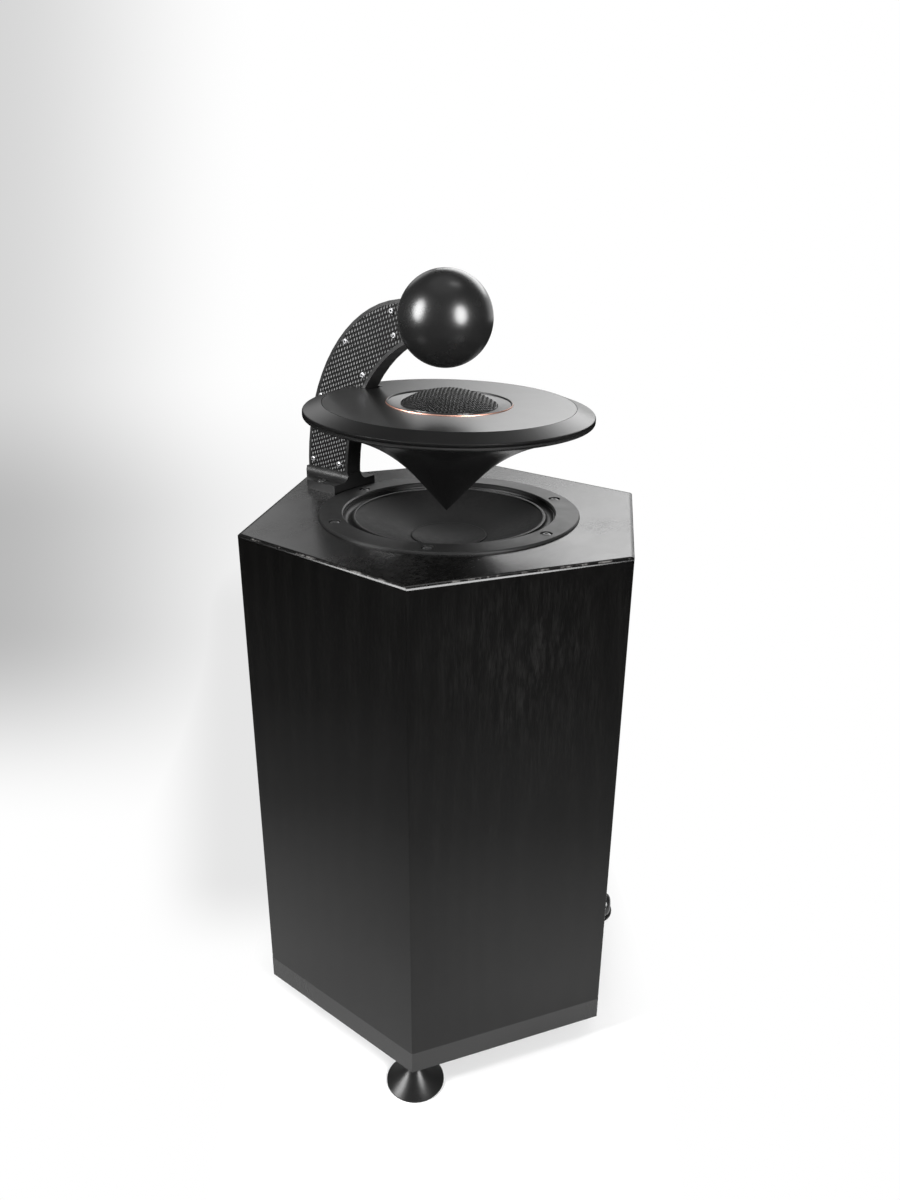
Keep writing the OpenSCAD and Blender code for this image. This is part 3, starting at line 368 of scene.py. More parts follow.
def veneer(name, upright):
    """Grain along Z for the sides and along X for the top and the bottom."""
    f = Finish(name, Specular_IOR_Level=0.28 if upright else 0.62)
    spot = f.spot()
    reach, height = hexagon_reach(f, spot), f.part(spot, "Z")
    fibres, pores, tone = grain(f, spot, upright)
    rubbed_sheen = rubbed_sheen_streaks(f, spot, upright)
    # The rubbed streaks are rougher and lift the colour as a painted sheen.
    colour = f.mix(f.math("MULTIPLY", rubbed_sheen, 0.5), f.ramp(tone, STAIN), RUBBED_SHEEN_TONE)
    # Along the top's edges the pale grey is worn stain and a painted highlight.
    wear_and_highlight = edge_wear_and_highlight(f, spot, reach, height)
    f.join(f.mix(wear_and_highlight, colour, WEAR_AND_HIGHLIGHT_TONE), "Base Color")
    smears = f.noise(f.scaled(spot, (1, 1, 0.7)), 9, 5, 0.6)
    dull = f.ramp(f.math("MULTIPLY_ADD", fibres, 0.3, f.math("MULTIPLY", smears, 0.7)),
                  GLOSS_SIDES if upright else GLOSS_TOP)
    f.join(f.math("MULTIPLY_ADD", rubbed_sheen, 0.1, dull), "Roughness")
    relief = f.math("MULTIPLY_ADD", pores, 0.5, fibres)
    f.bump(f.math("MULTIPLY_ADD", relief, GRAIN_DEPTH, rounded_edge(f, reach, height)), 1.0)
    return f.material


veneer_upright = veneer("veneer_upright", True)
veneer_level = veneer("veneer_level", False)
print("veneer ready")

# %% [markdown]
# The reflector, ball, arm and feet share one idea: a smooth satin black. Real paint is never
# quite even, so its roughness drifts a little and its surface has the faint peel of a spray
# coat. Only the amounts differ from piece to piece.

# %% Satin blacks
def satin_black(name, tone, rough, peel, spread=0.06, gloss=0.5):
    """Peel is the depth in millimetres, spread how far the roughness drifts."""
    f = Finish(name, Specular_IOR_Level=gloss)
    spot = f.spot()
    drift = f.noise(spot, 38, 4, 0.6)
    f.join(f.mix(drift, grey(tone * 0.8), grey(tone * 1.3)), "Base Color")
    f.join(f.ramp(drift, [(0.3, rough - spread), (0.7, rough + spread)]), "Roughness")
    skin, dust = f.noise(spot, 1500, 2, 0.5), f.noise(spot, 260, 1, 0.5)
    f.bump(f.math("MULTIPLY_ADD", dust, 0.6, skin), peel * MM, 0.6)
    return f.material


disc_black = satin_black("disc_black", 0.006, 0.29, 0.0006, 0.01, gloss=0.75)
cover_black = satin_black("cover_black", 0.010, 0.30, 0.001, 0.02, gloss=0.8)
ball_black = satin_black("ball_black", 0.009, 0.27, 0.002, 0.01, gloss=0.6)
arm_black = satin_black("arm_black", 0.011, 0.34, 0.015, 0.05)
foot_black = satin_black("foot_black", 0.008, 0.30, 0.006, 0.04, gloss=0.3)
basket_black = satin_black("basket_black", 0.010, 0.42, 0.030, 0.05, gloss=0.35)
face_black = satin_black("face_black", 0.02, 0.42, 0.030, 0.05)
screw_black = satin_black("screw_black", 0.03, 0.33, 0.010, 0.05, gloss=0.8)
print("satin blacks ready")

# %% [markdown]
# The reflector's rim is turned with a small round. In the light it reads as one slope that
# runs down to a fine, shiny edge. The shape stays the solids' own, and the bump tilts its
# shading: a height that grows evenly along the rim tilts it by a fixed angle.

# %% The reflector's rim
RIM_EDGE_LOW, RIM_EDGE_HIGH, RIM_TOP = -10.4 * MM, -7.9 * MM, -5.6 * MM
EDGE_SLOPE, RIM_SLOPE = 0.30, 1.4
RIM_FADE = 0.2 * MM


def sharp_rim(name):
    """Satin black whose bump depends on z, the height above the seam in the leaning frame.

    The bump's height grows by EDGE_SLOPE for each unit of z from RIM_EDGE_LOW up to
    RIM_EDGE_HIGH, and by RIM_SLOPE from there to RIM_TOP. Below RIM_EDGE_HIGH it is shinier.
    """
    f = Finish(name)
    spot = f.spot()
    drift = f.noise(spot, 38, 4, 0.6)
    f.join(f.mix(drift, grey(0.005), grey(0.008)), "Base Color")
    z = f.math("SUBTRACT", f.dot(spot, (0, -math.sin(LEAN), math.cos(LEAN))),
               SEAM * math.cos(LEAN))
    fade = RIM_EDGE_HIGH, RIM_EDGE_HIGH + RIM_FADE
    f.join(f.math("MULTIPLY_ADD", drift, 0.02, f.between(z, *fade, 0.15, 0.27)), "Roughness")
    f.join(f.between(z, *fade, 1.0, 0.38), "Specular IOR Level")
    edge = f.math("MINIMUM", f.math("MAXIMUM", z, RIM_EDGE_LOW), RIM_EDGE_HIGH)
    slope = f.math("MINIMUM", f.math("MAXIMUM", z, RIM_EDGE_HIGH), RIM_TOP)
    f.bump(f.math("MULTIPLY_ADD", edge, EDGE_SLOPE, f.math("MULTIPLY", slope, RIM_SLOPE)), 1.0)
    return f.material


reflector_black = sharp_rim("reflector_black")
print("rim ready")

# %% [markdown]
# Bare metals are lit almost only by what they reflect, so fine turning marks and a little
# tarnish carry their look.

# %% Metals
def metal(name, colour, rough, tarnish=0.25, marks=0.01):
    """Marks is the depth of the turning marks in millimetres."""
    f = Finish(name, Metallic=1.0)
    spot = f.spot()
    stain = f.noise(spot, 90, 5, 0.65)
    dark = (*(c * (1 - tarnish) for c in colour), 1)
    f.join(f.mix(stain, dark, (*colour, 1)), "Base Color")
    lines = f.noise(f.scaled(spot, (1, 1, 9)), 700, 2)
    f.join(f.ramp(lines, [(0.3, rough * 0.75), (0.7, rough * 1.3)]), "Roughness")
    f.bump(lines, marks * MM, 0.5)
    return f.material


steel_bright = metal("steel_bright", (0.50, 0.50, 0.51), 0.42, 0.3, 0.003)
steel_soft = metal("steel_soft", (0.60, 0.60, 0.60), 0.38)
brass_gold = metal("brass_gold", (0.85, 0.64, 0.30), 0.22)
print("metals ready")

# %% [markdown]
# The ring round the tweeter's face is black, with bare copper on its outer side. Its faces
# could be given two materials, but then the line between them follows the mesh. A point's
# distance from the axis tells the two apart as well, so one material does both, and the line
# stays crisp and round.

# %% Copper and black
COPPER_R = 51.8
COPPER_FROM, COPPER_TO = (COPPER_R - 0.35) * MM, (COPPER_R - 0.25) * MM


def copper_side(name):
    """Black up to COPPER_FROM from the axis, bare copper past COPPER_TO."""
    f = Finish(name)
    spot = f.spot()
    stain = f.noise(spot, 90, 4, 0.6)
    x, y = f.part(spot, "X"), f.part(spot, "Y")
    r = f.math("SQRT", f.math("ADD", f.math("POWER", x, 2.0), f.math("POWER", y, 2.0)))
    bare = f.between(r, COPPER_FROM, COPPER_TO)
    shade = f.mix(stain, (0.62, 0.33, 0.25, 1), (0.70, 0.41, 0.33, 1))
    f.join(f.mix(bare, grey(0.02), shade), "Base Color")
    f.join(bare, "Metallic")
    f.join(f.ramp(stain, [(0.3, 0.40), (0.7, 0.46)]), "Roughness")
    return f.material


copper_bright = copper_side("copper_bright")
print("copper ready")

# %% [markdown]
# Rubber, felt, cloth, board, winding wire and moulded plastic are each one base colour with
# the fine structure that tells them apart.

# %% Soft and plain finishes
def matt(name, colour_a, colour_b, scale, rough, depth, stretch=(1, 1, 1), gloss=0.5, sheen=0.0):
    """Two colours in a fine grain, whose depth is in millimetres."""
    f = Finish(name, Specular_IOR_Level=gloss, Sheen_Weight=sheen)
    texture = f.noise(f.scaled(f.spot(), stretch), scale, 4, 0.6)
    f.join(f.mix(f.ramp(texture, [(0.35, 0.0), (0.65, 1.0)]), (*colour_a, 1), (*colour_b, 1)),
           "Base Color")
    f.join(f.ramp(texture, [(0.3, rough - 0.07), (0.7, rough + 0.07)]), "Roughness")
    f.bump(texture, depth * MM, 0.7)
    return f.material


rubber_black = matt("rubber_black", (0.005,) * 3, (0.009,) * 3, 500, 0.46, 0.03, gloss=0.3)
felt_grey = matt("felt_grey", (0.20, 0.20, 0.21), (0.34, 0.34, 0.36), 420, 0.95, 0.6, sheen=0.4)
cloth_amber = matt("cloth_amber", (0.42, 0.30, 0.09), (0.62, 0.47, 0.17), 900, 0.8, 0.1)
dome_silk = matt("dome_silk", (0.010,) * 3, (0.020,) * 3, 1500, 0.55, 0.04, sheen=0.3)
cone_black = matt("cone_black", (0.009,) * 3, (0.013,) * 3, 240, 0.48, 0.02, gloss=0.05)
mesh_black = matt("mesh_black", (0.003,) * 3, (0.008,) * 3, 700, 0.32, 0.01)
print("finishes of the drivers ready")

# %% [markdown]
# The brace, the boards, the coils and the terminals' knobs are seen only from behind or with
# the cabinet opened. They could be left plain, but the same recipe gives each its own colour
# and surface in one line.

# %% Finishes of the inside and the terminals
board_raw = matt("board_raw", (0.36, 0.25, 0.15), (0.55, 0.41, 0.27), 500, 0.8, 0.2, (1, 1, 4))
board_green = matt("board_green", (0.012, 0.10, 0.035), (0.02, 0.14, 0.05), 160, 0.35, 0.02)
film_cream = matt("film_cream", (0.62, 0.56, 0.42), (0.72, 0.66, 0.52), 120, 0.4, 0.03)
wire_enamel = matt("wire_enamel", (0.42, 0.13, 0.05), (0.62, 0.24, 0.10), 1300, 0.3, 0.12,
                   (1, 1, 6), gloss=0.8)
ferrite_grey = matt("ferrite_grey", (0.035,) * 3, (0.06,) * 3, 300, 0.6, 0.1)
knob_red_gloss = matt("knob_red_gloss", (0.40, 0.012, 0.012), (0.48, 0.02, 0.018), 90, 0.25,
                      0.01)
knob_black_gloss = matt("knob_black_gloss", (0.010,) * 3, (0.016,) * 3, 90, 0.25, 0.01)
print("finishes of the inside ready")

# %% [markdown]
# The plates on the arm are woven from flat black tows under clear resin. From a distance one sees
# leaning ovals of light in rows, where a tow lies on top, and black gaps between them. Here the
# ovals are painted highlights, pale in the base colour, and the gaps are a painted shade, darkest
# of all.
# The rows aren't square to each other, so a point is first written in steps along a row and
# steps from row to row. What is left over says where in its oval the point lies.

# %% Woven fibre
ROW_STEP, NEXT_ROW = (3.33, 1.19), (1.12, -3.5)
OVAL, OVAL_LEAN = (0.85, 1.55), -0.25


def oval_steps(f, spot):
    """Steps i along a row and j from row to row, from -0.5 to 0.5 round each oval's middle.

    They solve (-y, z) = i * ROW_STEP + j * NEXT_ROW: each is a cross product with the other
    step, over the area that the two steps span. Then the whole steps are taken off.
    """
    (row_y, row_z), (next_y, next_z) = ROW_STEP, NEXT_ROW
    area = (row_y * next_z - row_z * next_y) * MM

    def steps(y, z):
        count = f.dot(spot, (0, y / area, z / area))
        return f.math("SUBTRACT", f.math("FRACT", count), 0.5)

    return steps(-next_z, -next_y), steps(row_z, row_y)


def oval_hill(f, i, j):
    """1 in the middle of an oval and 0 from its edge on: one minus its distance squared."""
    across = f.math("MULTIPLY_ADD", i, ROW_STEP[0], f.math("MULTIPLY", j, NEXT_ROW[0]))
    along = f.math("MULTIPLY_ADD", i, ROW_STEP[1], f.math("MULTIPLY", j, NEXT_ROW[1]))
    across = f.math("MULTIPLY_ADD", along, OVAL_LEAN, across)
    far_out = f.math("ADD", f.math("POWER", f.math("MULTIPLY", across, 1 / OVAL[0]), 2.0),
                     f.math("POWER", f.math("MULTIPLY", along, 1 / OVAL[1]), 2.0))
    return f.math("SUBTRACT", 1.0, far_out, clamp=True)


def woven(name):
    """Ovals on a skewed lattice: ROW_STEP from one to the next, NEXT_ROW down to the next row."""
    f = Finish(name, Coat_Weight=0.5, Coat_Roughness=0.07, Specular_IOR_Level=0.12)
    spot = f.spot()
    wobble = f.add("TexNoise", Vector=spot, Scale=150, Detail=1).outputs["Color"]
    wobble = f.vector_math("SUBTRACT", wobble, (0.5,) * 3)
    i, j = oval_steps(f, f.vector_math("MULTIPLY_ADD", wobble, (0.8 * MM,) * 3, spot))
    hill = oval_hill(f, i, j)
    gap = f.math("MULTIPLY", f.math("ABSOLUTE", i), f.math("ABSOLUTE", j))
    gap = f.ramp(f.math("MULTIPLY", gap, 4.0), [(0.3, 0.0), (0.75, 1.0)])
    patchy = f.math("MULTIPLY_ADD", f.noise(spot, 60, 2), 0.9, 0.5)
    # The ovals' pale tone is a painted highlight, and the gaps' near black below is a painted
    # shade.
    oval_highlight_tone = f.ramp(f.math("MULTIPLY", hill, patchy),
                       [(0.0, 0.004), (0.35, 0.065), (0.9, 0.20)])
    f.join(f.mix(gap, oval_highlight_tone, grey(0.002)), "Base Color")
    f.join(f.ramp(hill, [(0.0, 0.5), (1.0, 0.36)]), "Roughness")
    f.bump(f.math("MULTIPLY_ADD", gap, -0.4, hill), 0.2 * MM, 0.6)
    return f.material


carbon = woven("woven_fibre")
print("woven fibre ready")

# %% [markdown]
# The woofer's moving face is a curved cone with a dust cap sunk in it. The solids hold plain
# copies of these. Here the cone gets its glued lip and the neck that holds the coil's former.
# Its face could be a row of measured points, but a curve with two handles bends evenly, and
# an even bend is what gives a cone its one soft highlight.

# %% The cone
def curve(p0, p1, p2, p3, steps):
    """A line from p0 to p3 whose handles are p1 and p2, each point a blend of the four.

    As t goes from 0 to 1 and s is 1 - t, their shares are s cubed, three times s squared
    times t, three times s times t squared, and t cubed.
    """
    t =np.linspace(0, 1, steps)[:, None]
    p0, p1, p2, p3 = (np.asarray(p, float) for p in (p0, p1, p2, p3))
    return (1 - t) ** 3 * p0 + 3 * (1 - t) ** 2 * t * p1 + 3 * (1 - t) * t ** 2 * p2 + t ** 3 * p3


def below_top(profile):
    """Profiles are written from the cabinet's top, so they are lifted to it."""
    return np.asarray(profile, float) + [0, TOP / MM]


CONE_R, CAP_R, CAP_Z, COIL_R = 79.6, 32.0, -20.3, 19.6
CONE_PAPER = 1.0
cone_face = curve((CONE_R, -2.2), (61.6, -12.2), (46.0, -15.3), (32.8, CAP_Z), 60)
cone_line = np.concatenate([
    [(CONE_R + 2.2, -3.2), (CONE_R + 2.2, -2.2)], cone_face,
    [(CAP_R - 1.2, CAP_Z), (COIL_R + 1, CAP_Z - 7), (COIL_R, CAP_Z - 7),
     (COIL_R, CAP_Z - 10.5), (COIL_R + 1, CAP_Z - 10.5), (COIL_R + 1.6, CAP_Z - 8),
     (CAP_R - 1, CAP_Z - 1)],
    cone_face[::-1] - [0, CONE_PAPER]])
cone = piece("cone", closed_skin("cone", turned(below_top(cone_line))),
             "woofer_cone", ["woofer_cone"])

# %% [markdown]
# The dust cap is a shallow dish, whose depth falls off with the square of the radius. A bead
# of glue runs round it where it meets the cone, and catches a thin ring of light.

# %% The dust cap
dish_r = np.linspace(1, 0, 24)
cap_dish = np.stack([(CAP_R - 1.2) * dish_r, CAP_Z + 0.6 - 4.6 * (1 - dish_r ** 2)], 1)
bead_angle = np.linspace(0, math.pi, 10)
cap_bead = np.stack([CAP_R - 0.3 + 0.9 * np.cos(bead_angle),
                     CAP_Z + 0.15 + 0.75 * np.sin(bead_angle)], 1)
cap_line = np.concatenate([[(CAP_R + 0.6, CAP_Z)], cap_bead, cap_dish,
                           cap_dish[::-1] - [0, 0.6], [(CAP_R - 1.0, CAP_Z)]])
cap = piece("dust_cap", closed_skin("dust_cap", turned(below_top(cap_line))),
            "woofer_cone", ["woofer_dust_cap"])

# %% [markdown]
# Round the cone runs a soft rubber trough that ends under the flange. It has the rubber's
# thickness, and the fine steps that show as bright lines when light grazes them.

# %% The soft trough round the cone
FLANGE_OPEN, LIP_Z, LEDGE_R = 89.4, -1.1, 91.4
TROUGH_IN, TROUGH_OUT, RUBBER = CONE_R + 2.2, FLANGE_OPEN - 0.9, 0.6


def trough(r0, r1, z0, z1, depth, steps=40):
    """A half wave: the radius goes by a cosine so both ends start steep, the depth by a sine."""
    t = np.linspace(0, 1, steps)
    return np.stack([r0 + (r1 - r0) * (1 - np.cos(math.pi * t)) / 2,
                     z0 + (z1 - z0) * t + depth * np.sin(math.pi * t)], 1)


under = trough(TROUGH_IN, TROUGH_OUT, -2.2, LIP_Z - 0.8, -3.4)
soft_line = np.concatenate([
    [(CONE_R - 0.4, -2.2)], under, [(LEDGE_R, LIP_Z - 0.8), (LEDGE_R, LIP_Z)],
    (under + [0, RUBBER])[::-1],
    [(CONE_R + 1.8, -1.45), (CONE_R + 0.1, -1.4), (CONE_R - 0.25, -1.6), (CONE_R - 0.4, -1.9)]])
surround = piece("surround", closed_skin("surround", turned(below_top(soft_line))), None,
                 ["woofer_surround"])

# %% [markdown]
# The trough's inner edge travels with the cone while its outer edge is glued under the flange.
# Here the trough's placement is baked into its points, and their coordinates are read.

# %% The trough's placement is baked in
def bend_between(obj):
    """Bakes the piece's placement into its points and reads their coordinates.
    """
    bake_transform(obj)
    co = np.empty(len(obj.data.vertices) * 3, np.float32)
    obj.data.vertices.foreach_get("co", co)


bend_between(surround)

# %% [markdown]
# The spider behind the cone is a disc of stiff cloth pressed into rings. It is hidden here. In the
# real driver it moves with the coil. Its rings are a sine wave that fades out at both edges, and
# its placement is baked into its points like the trough's.

# %% The spider
SPIDER_IN, SPIDER_OUT, SPIDER_Z = 19.6, 56.0, -33.4
RINGS_IN, RINGS_OUT, RINGS, RING_HEIGHT = SPIDER_IN + 1.4, SPIDER_OUT - 6, 5, 1.3
CLOTH = [0, 0.3]
spider_r = np.linspace(RINGS_IN, RINGS_OUT, 120)
spider_t = (spider_r - spider_r[0]) / (spider_r[-1] - spider_r[0])
spider_wave = SPIDER_Z + RING_HEIGHT * np.sin(TURN * RINGS * spider_t) * np.sin(math.pi * spider_t)
spider_mid = np.concatenate([[(SPIDER_IN, SPIDER_Z)], np.stack([spider_r, spider_wave], 1),
                             [(SPIDER_OUT, SPIDER_Z - 0.3)]])
spider_line = np.concatenate([spider_mid - CLOTH, (spider_mid + CLOTH)[::-1]])
spider = piece("spider", closed_skin("spider", turned(below_top(spider_line), 96), 60), None,
               ["woofer_spider"])
bend_between(spider)

# %% [markdown]
# Over the tweeter sits a dome of fine wire mesh. A shell with a pattern of holes painted on
# would look flat from the side, so real wires are laid: two families of thin strands, each
# strand a flat ribbon that runs over the dome, and weaves up and down past the other family.

# %% Strands of the mesh
MESH_R, MESH_RISE, MESH_TURN = 39.3, 11.3, 79
FACE_SINK, FACE_THICK, MESH_LIFT = 4, 2.2, 0.9
MESH_Z = TOP / MM + SEAM_RISE - FACE_SINK + FACE_THICK + MESH_LIFT
MESH_BIG = (MESH_R ** 2 + MESH_RISE ** 2) / (2 * MESH_RISE)
WIRE_PITCH, WIRE_WIDTH, WIRE_THICK, WIRE_STEPS = 2.2, 0.75, 0.5, 128


def dome_height(x, y):
    """The height of a sphere's cap over the point, its rim at zero.

    It is the root of the sphere's radius squared less x and y squared, lowered by the radius
    and raised by the cap's own height.
    """
    return np.sqrt(np.maximum(MESH_BIG ** 2 - x ** 2 - y ** 2, 0)) - MESH_BIG + MESH_RISE


def strands(turn, odd_sign):
    """Ribbons side by side at a pitch, cut to the dome's round outline, turned about Z.

    A ribbon rises and falls by a cosine whose half wave is one pitch, so it passes over one
    strand of the other family and under the next. The wave of every second, odd ribbon has
    the sign odd_sign, and that of its neighbours the opposite.
    """
    offsets = np.arange(-MESH_R + WIRE_PITCH, MESH_R - WIRE_PITCH / 2, WIRE_PITCH)
    x = np.sqrt(MESH_R ** 2 - offsets ** 2)[:, None] * np.linspace(-1, 1, WIRE_STEPS)
    y = offsets[:, None] * np.ones_like(x)
    sign = odd_sign * np.where(np.arange(len(offsets)) % 2, 1, -1)[:, None]
    wave = 0.5 * WIRE_THICK * sign * np.cos(math.pi * x / WIRE_PITCH)
    a = math.radians(turn + MESH_TURN)
    grid = np.empty(x.shape + (4, 3))
    for k, (side, level) in enumerate([(-1, -1), (1, -1), (1, 1), (-1, 1)]):
        yy = y + side * WIRE_WIDTH / 2
        grid[..., k, 0] = x * math.cos(a) - yy * math.sin(a)
        grid[..., k, 1] = x * math.sin(a) + yy * math.cos(a)
        grid[..., k, 2] = MESH_Z + (dome_height(x, yy) + wave + level * WIRE_THICK / 2)
    return grid * MM


families = [strands(0, 1), strands(90, -1)]
print([len(family) for family in families], "strands")

# %% [markdown]
# A strand's grid has four corners at each step along it. Faces join each corner line to the
# next, and one more face closes each end. A turned ring holds the ends.

# %% The mesh over the tweeter
def ribbons_mesh(name, families):
    """Joins each ribbon's four corner lines into a strip and closes its two ends."""
    verts, faces, start = [], [], 0
    for grid in families:
        count, steps = grid.shape[:2]
        first = start + np.arange(count)[:, None] * steps * 4
        step = (np.arange(steps - 1) * 4)[None, :, None]
        k = np.arange(4)[None, None, :]
        a = first[..., None] + step + k
        b = first[..., None] + step + (k + 1) % 4
        faces.append(np.stack([a, b, b + 4, a + 4], -1).reshape(-1, 4))
        faces.append(first + [3, 2, 1, 0])
        faces.append(first + (steps - 1) * 4 + [0, 1, 2, 3])
        verts.append(grid.reshape(-1, 3))
        start += count * steps * 4
    mesh = bpy.data.meshes.new(name)
    mesh.from_pydata(leaned(np.concatenate(verts)).tolist(), [],
                     np.concatenate(faces).tolist())
    mesh.shade_smooth()
    return mesh


wires = piece("mesh_wires", ribbons_mesh("mesh_wires", families), "cabinet",
              ["tweeter_grille"])
rim_line = [(MESH_R - 1.5, MESH_Z - 0.9), (MESH_R + 0.1, MESH_Z - 0.9),
            (MESH_R + 0.15, MESH_Z - 0.2), (MESH_R - 0.1, MESH_Z + 0.25),
            (MESH_R - 0.7, MESH_Z + 0.35), (MESH_R - 1.3, MESH_Z + 0.1),
            (MESH_R - 1.5, MESH_Z - 0.3)]
mesh_rim = piece("mesh_rim", closed_skin("mesh_rim", leaned(turned(rim_line)), 60), "cabinet")

# %% [markdown]
# The tweeter's face stands a little above the reflector's top. Only the outer side of its
# raised edge is bare copper, so it shines near the camera and is out of sight on the far side.

# %% The copper edge
RISE = SEAM / MM
copper_line = [(COPPER_R - 1.4, RISE - 6.0), (COPPER_R, RISE - 6.0), (COPPER_R, RISE + 0.35),
               (COPPER_R - 0.12, RISE + 0.6), (COPPER_R - 0.45, RISE + 0.8),
               (COPPER_R - 0.8, RISE + 0.85), (COPPER_R - 1.2, RISE + 0.7),
               (COPPER_R - 1.4, RISE + 0.3)]
copper_ring = piece("copper_edge",
                    closed_skin("copper_edge", leaned(turned(copper_line, 180)), 70),
                    "cabinet", ["tweeter_copper_ring"])

# %% [markdown]
# Low on the right a dark round cap peeks out past the cabinet's edge. It stands on the side
# that is just out of sight. Its profile is a short wall and a flattened dome, whose radius
# goes by a power of the cosine and whose height goes by the sine. The same lathe makes it, and
# its grid is then laid along an axis that points out of that side.

# %% The cap on the hidden side
CAP_OUT, CAP_RADIUS, CAP_WALL, CAP_FLATNESS = 8.0, 10.6, 2.6, 0.7
CAP_SIDE, CAP_HEIGHT = 300, 76.5 * MM
dome_t = np.linspace(0, math.pi / 2, 14)
cap_dome = np.stack([CAP_RADIUS * np.cos(dome_t) ** CAP_FLATNESS,
                     CAP_WALL + (CAP_OUT - CAP_WALL) * np.sin(dome_t)], 1)
cap_profile = np.concatenate([
    [(CAP_RADIUS + 0.8, 0.0), (CAP_RADIUS + 0.8, 1.2), (CAP_RADIUS, 1.8)], cap_dome[:-1],
    [(0.0, CAP_OUT), (0.0, 0.0)]])
cap_points = turned(cap_profile, 72)
side = math.radians(CAP_SIDE)
out_of_side = np.array([math.cos(side), math.sin(side), 0])
along_side = np.array([-math.sin(side), math.cos(side), 0])
cap_placed = (cap_points[..., 2:] + APOTHEM) * out_of_side + cap_points[..., :1] * along_side
cap_placed[..., 2] = cap_points[..., 1] + CAP_HEIGHT
rear_cap = piece("rear_cap", closed_skin("rear_cap", cap_placed), "cabinet")

# %% [markdown]
# Each solid that is already right keeps its shape and only gets its finish. The solids that
# the pieces above stand for are hidden, and get a plain one.

# %% Finishes on the solids and the new pieces
finish_of = {
    veneer_upright: ["side_panel_%d" % k for k in range(1, 7)],
    veneer_level: ["top_panel", "bottom_panel"],
    board_raw: ["brace_ring"],
    felt_grey: ["damping_felt"],
    brass_gold: ["foot_inserts", "binding_posts", "post_nuts", "clamp_washer_red",
                 "clamp_washer_black"],
    foot_black: ["foot_1", "foot_2", "foot_3"],
    arm_black: ["arm_core", "ball_stud"],
    steel_soft: ["foot_stud_1", "foot_stud_2", "foot_stud_3", "woofer_front_plate",
                 "woofer_pole", "tweeter_front_plate", "tweeter_cup", "reflector_screws"],
    steel_bright: ["arm_plate_screws"],
    screw_black: ["woofer_screws", "arm_base_screws", "tweeter_screws", "terminal_screws"],
    basket_black: ["woofer_frame"],
    ferrite_grey: ["woofer_magnet", "tweeter_magnet"],
    wire_enamel: ["woofer_voice_coil", "tweeter_voice_coil", "crossover_coils"],
    rubber_black: ["tweeter_lead", "tweeter_surround", "woofer_surround", "tweeter_grille",
                   "tweeter_copper_ring"],
    carbon: ["arm_plate_left", "arm_plate_right"],
    ball_black: ["ball"],
    reflector_black: ["reflector_body"],
    disc_black: ["reflector_top"],
    face_black: ["tweeter_faceplate", "terminal_plate"],
    cover_black: ["tweeter_cover_ring"],
    dome_silk: ["tweeter_dome"],
    knob_red_gloss: ["knob_red"],
    knob_black_gloss: ["knob_black"],
    board_green: ["crossover_board"],
    film_cream: ["crossover_capacitors"],
    cone_black: ["woofer_cone", "woofer_dust_cap"],
    cloth_amber: ["woofer_spider"],
}
for material, names in finish_of.items():
    for node_name in names:
        paint(nodes_by_name[node_name], material)
for obj, material in ((cone, cone_black), (cap, cone_black), (surround, rubber_black),
                      (spider, cloth_amber), (wires, mesh_black), (mesh_rim, cover_black),
                      (rear_cap, knob_black_gloss), (copper_ring, copper_bright)):
    paint(obj, material)
print(len(finish_of), "finishes given out")

# %% [markdown]
# The photo was taken from a little above, close by, with a short lens. The camera was fitted
# to the corners of the cabinet and the rims of the round parts.

# %% Camera
CAMERA_AT = Vector((-0.5991, -0.4916, 0.7038))
FOCAL_PIXELS, PHOTO_HEIGHT, SENSOR = 950.3, 1200, 36
forward = Vector((0.7167, 0.5860, -0.3782)).normalized()
right = forward.cross(Vector((0, 0, 1))).normalized()
up = right.cross(forward)
roll = math.radians(0.318)
right, up = (right * math.cos(roll) + up * math.sin(roll),
             up * math.cos(roll) - right * math.sin(roll))
camera_data = bpy.data.cameras.new("camera")
camera_data.lens = FOCAL_PIXELS / PHOTO_HEIGHT * SENSOR
camera_data.clip_start = 0.02
camera = bpy.data.objects.new("camera", camera_data)
camera.matrix_world = Matrix.Translation(CAMERA_AT) @ Matrix(
    (right, up, -forward)).transposed().to_4x4()
bpy.context.scene.collection.objects.link(camera)
bpy.context.scene.camera = camera
print("lens", round(camera_data.lens, 2))

# %% [markdown]
# The paper behind the speaker is white. A painted shade gives it a soft grey on the left at eye
# height, and a painted shadow a fainter grey beside the cabinet's left side. The same tone is
# wanted on the floor and on the wall behind it, so it is worked out from the direction in which a
# point lies from the camera's fixed place: across is how far to the right and level how far up,
# both over the depth.

# %% The paper's tone, with painted shade and a painted shadow
def painted_shade_at_left(f, across, level):
    """A broad grey towards the left edge, deeper below eye height and gone lower down."""
    # This grey is a painted shade.
    band = f.math("MULTIPLY", f.between(level, 0.24, 0.08, soft=True),
                  f.between(across, 0.0, -0.36, soft=True))
    tone = f.math("MULTIPLY_ADD", band, 0.19,
                  f.math("MULTIPLY", f.between(across, -0.2, -0.5, soft=True), 0.33))
    return f.math("MULTIPLY", tone, f.between(level, -0.24, -0.02, soft=True))


def painted_shadow_beside_cabinet(f, across, level):
    """A fainter grey that fades in towards the cabinet's left side."""
    # This grey is a painted shadow of the cabinet.
    beside = f.math("MULTIPLY", f.between(across, -0.33, -0.23, soft=True),
                    f.between(level, -0.38, -0.29, soft=True))
    beside = f.math("MULTIPLY", beside, f.between(level, 0.12, -0.02, soft=True))
    beside = f.math("MULTIPLY", beside, f.between(across, -0.02, -0.16, soft=True))
    return f.math("MULTIPLY", beside, 0.21)


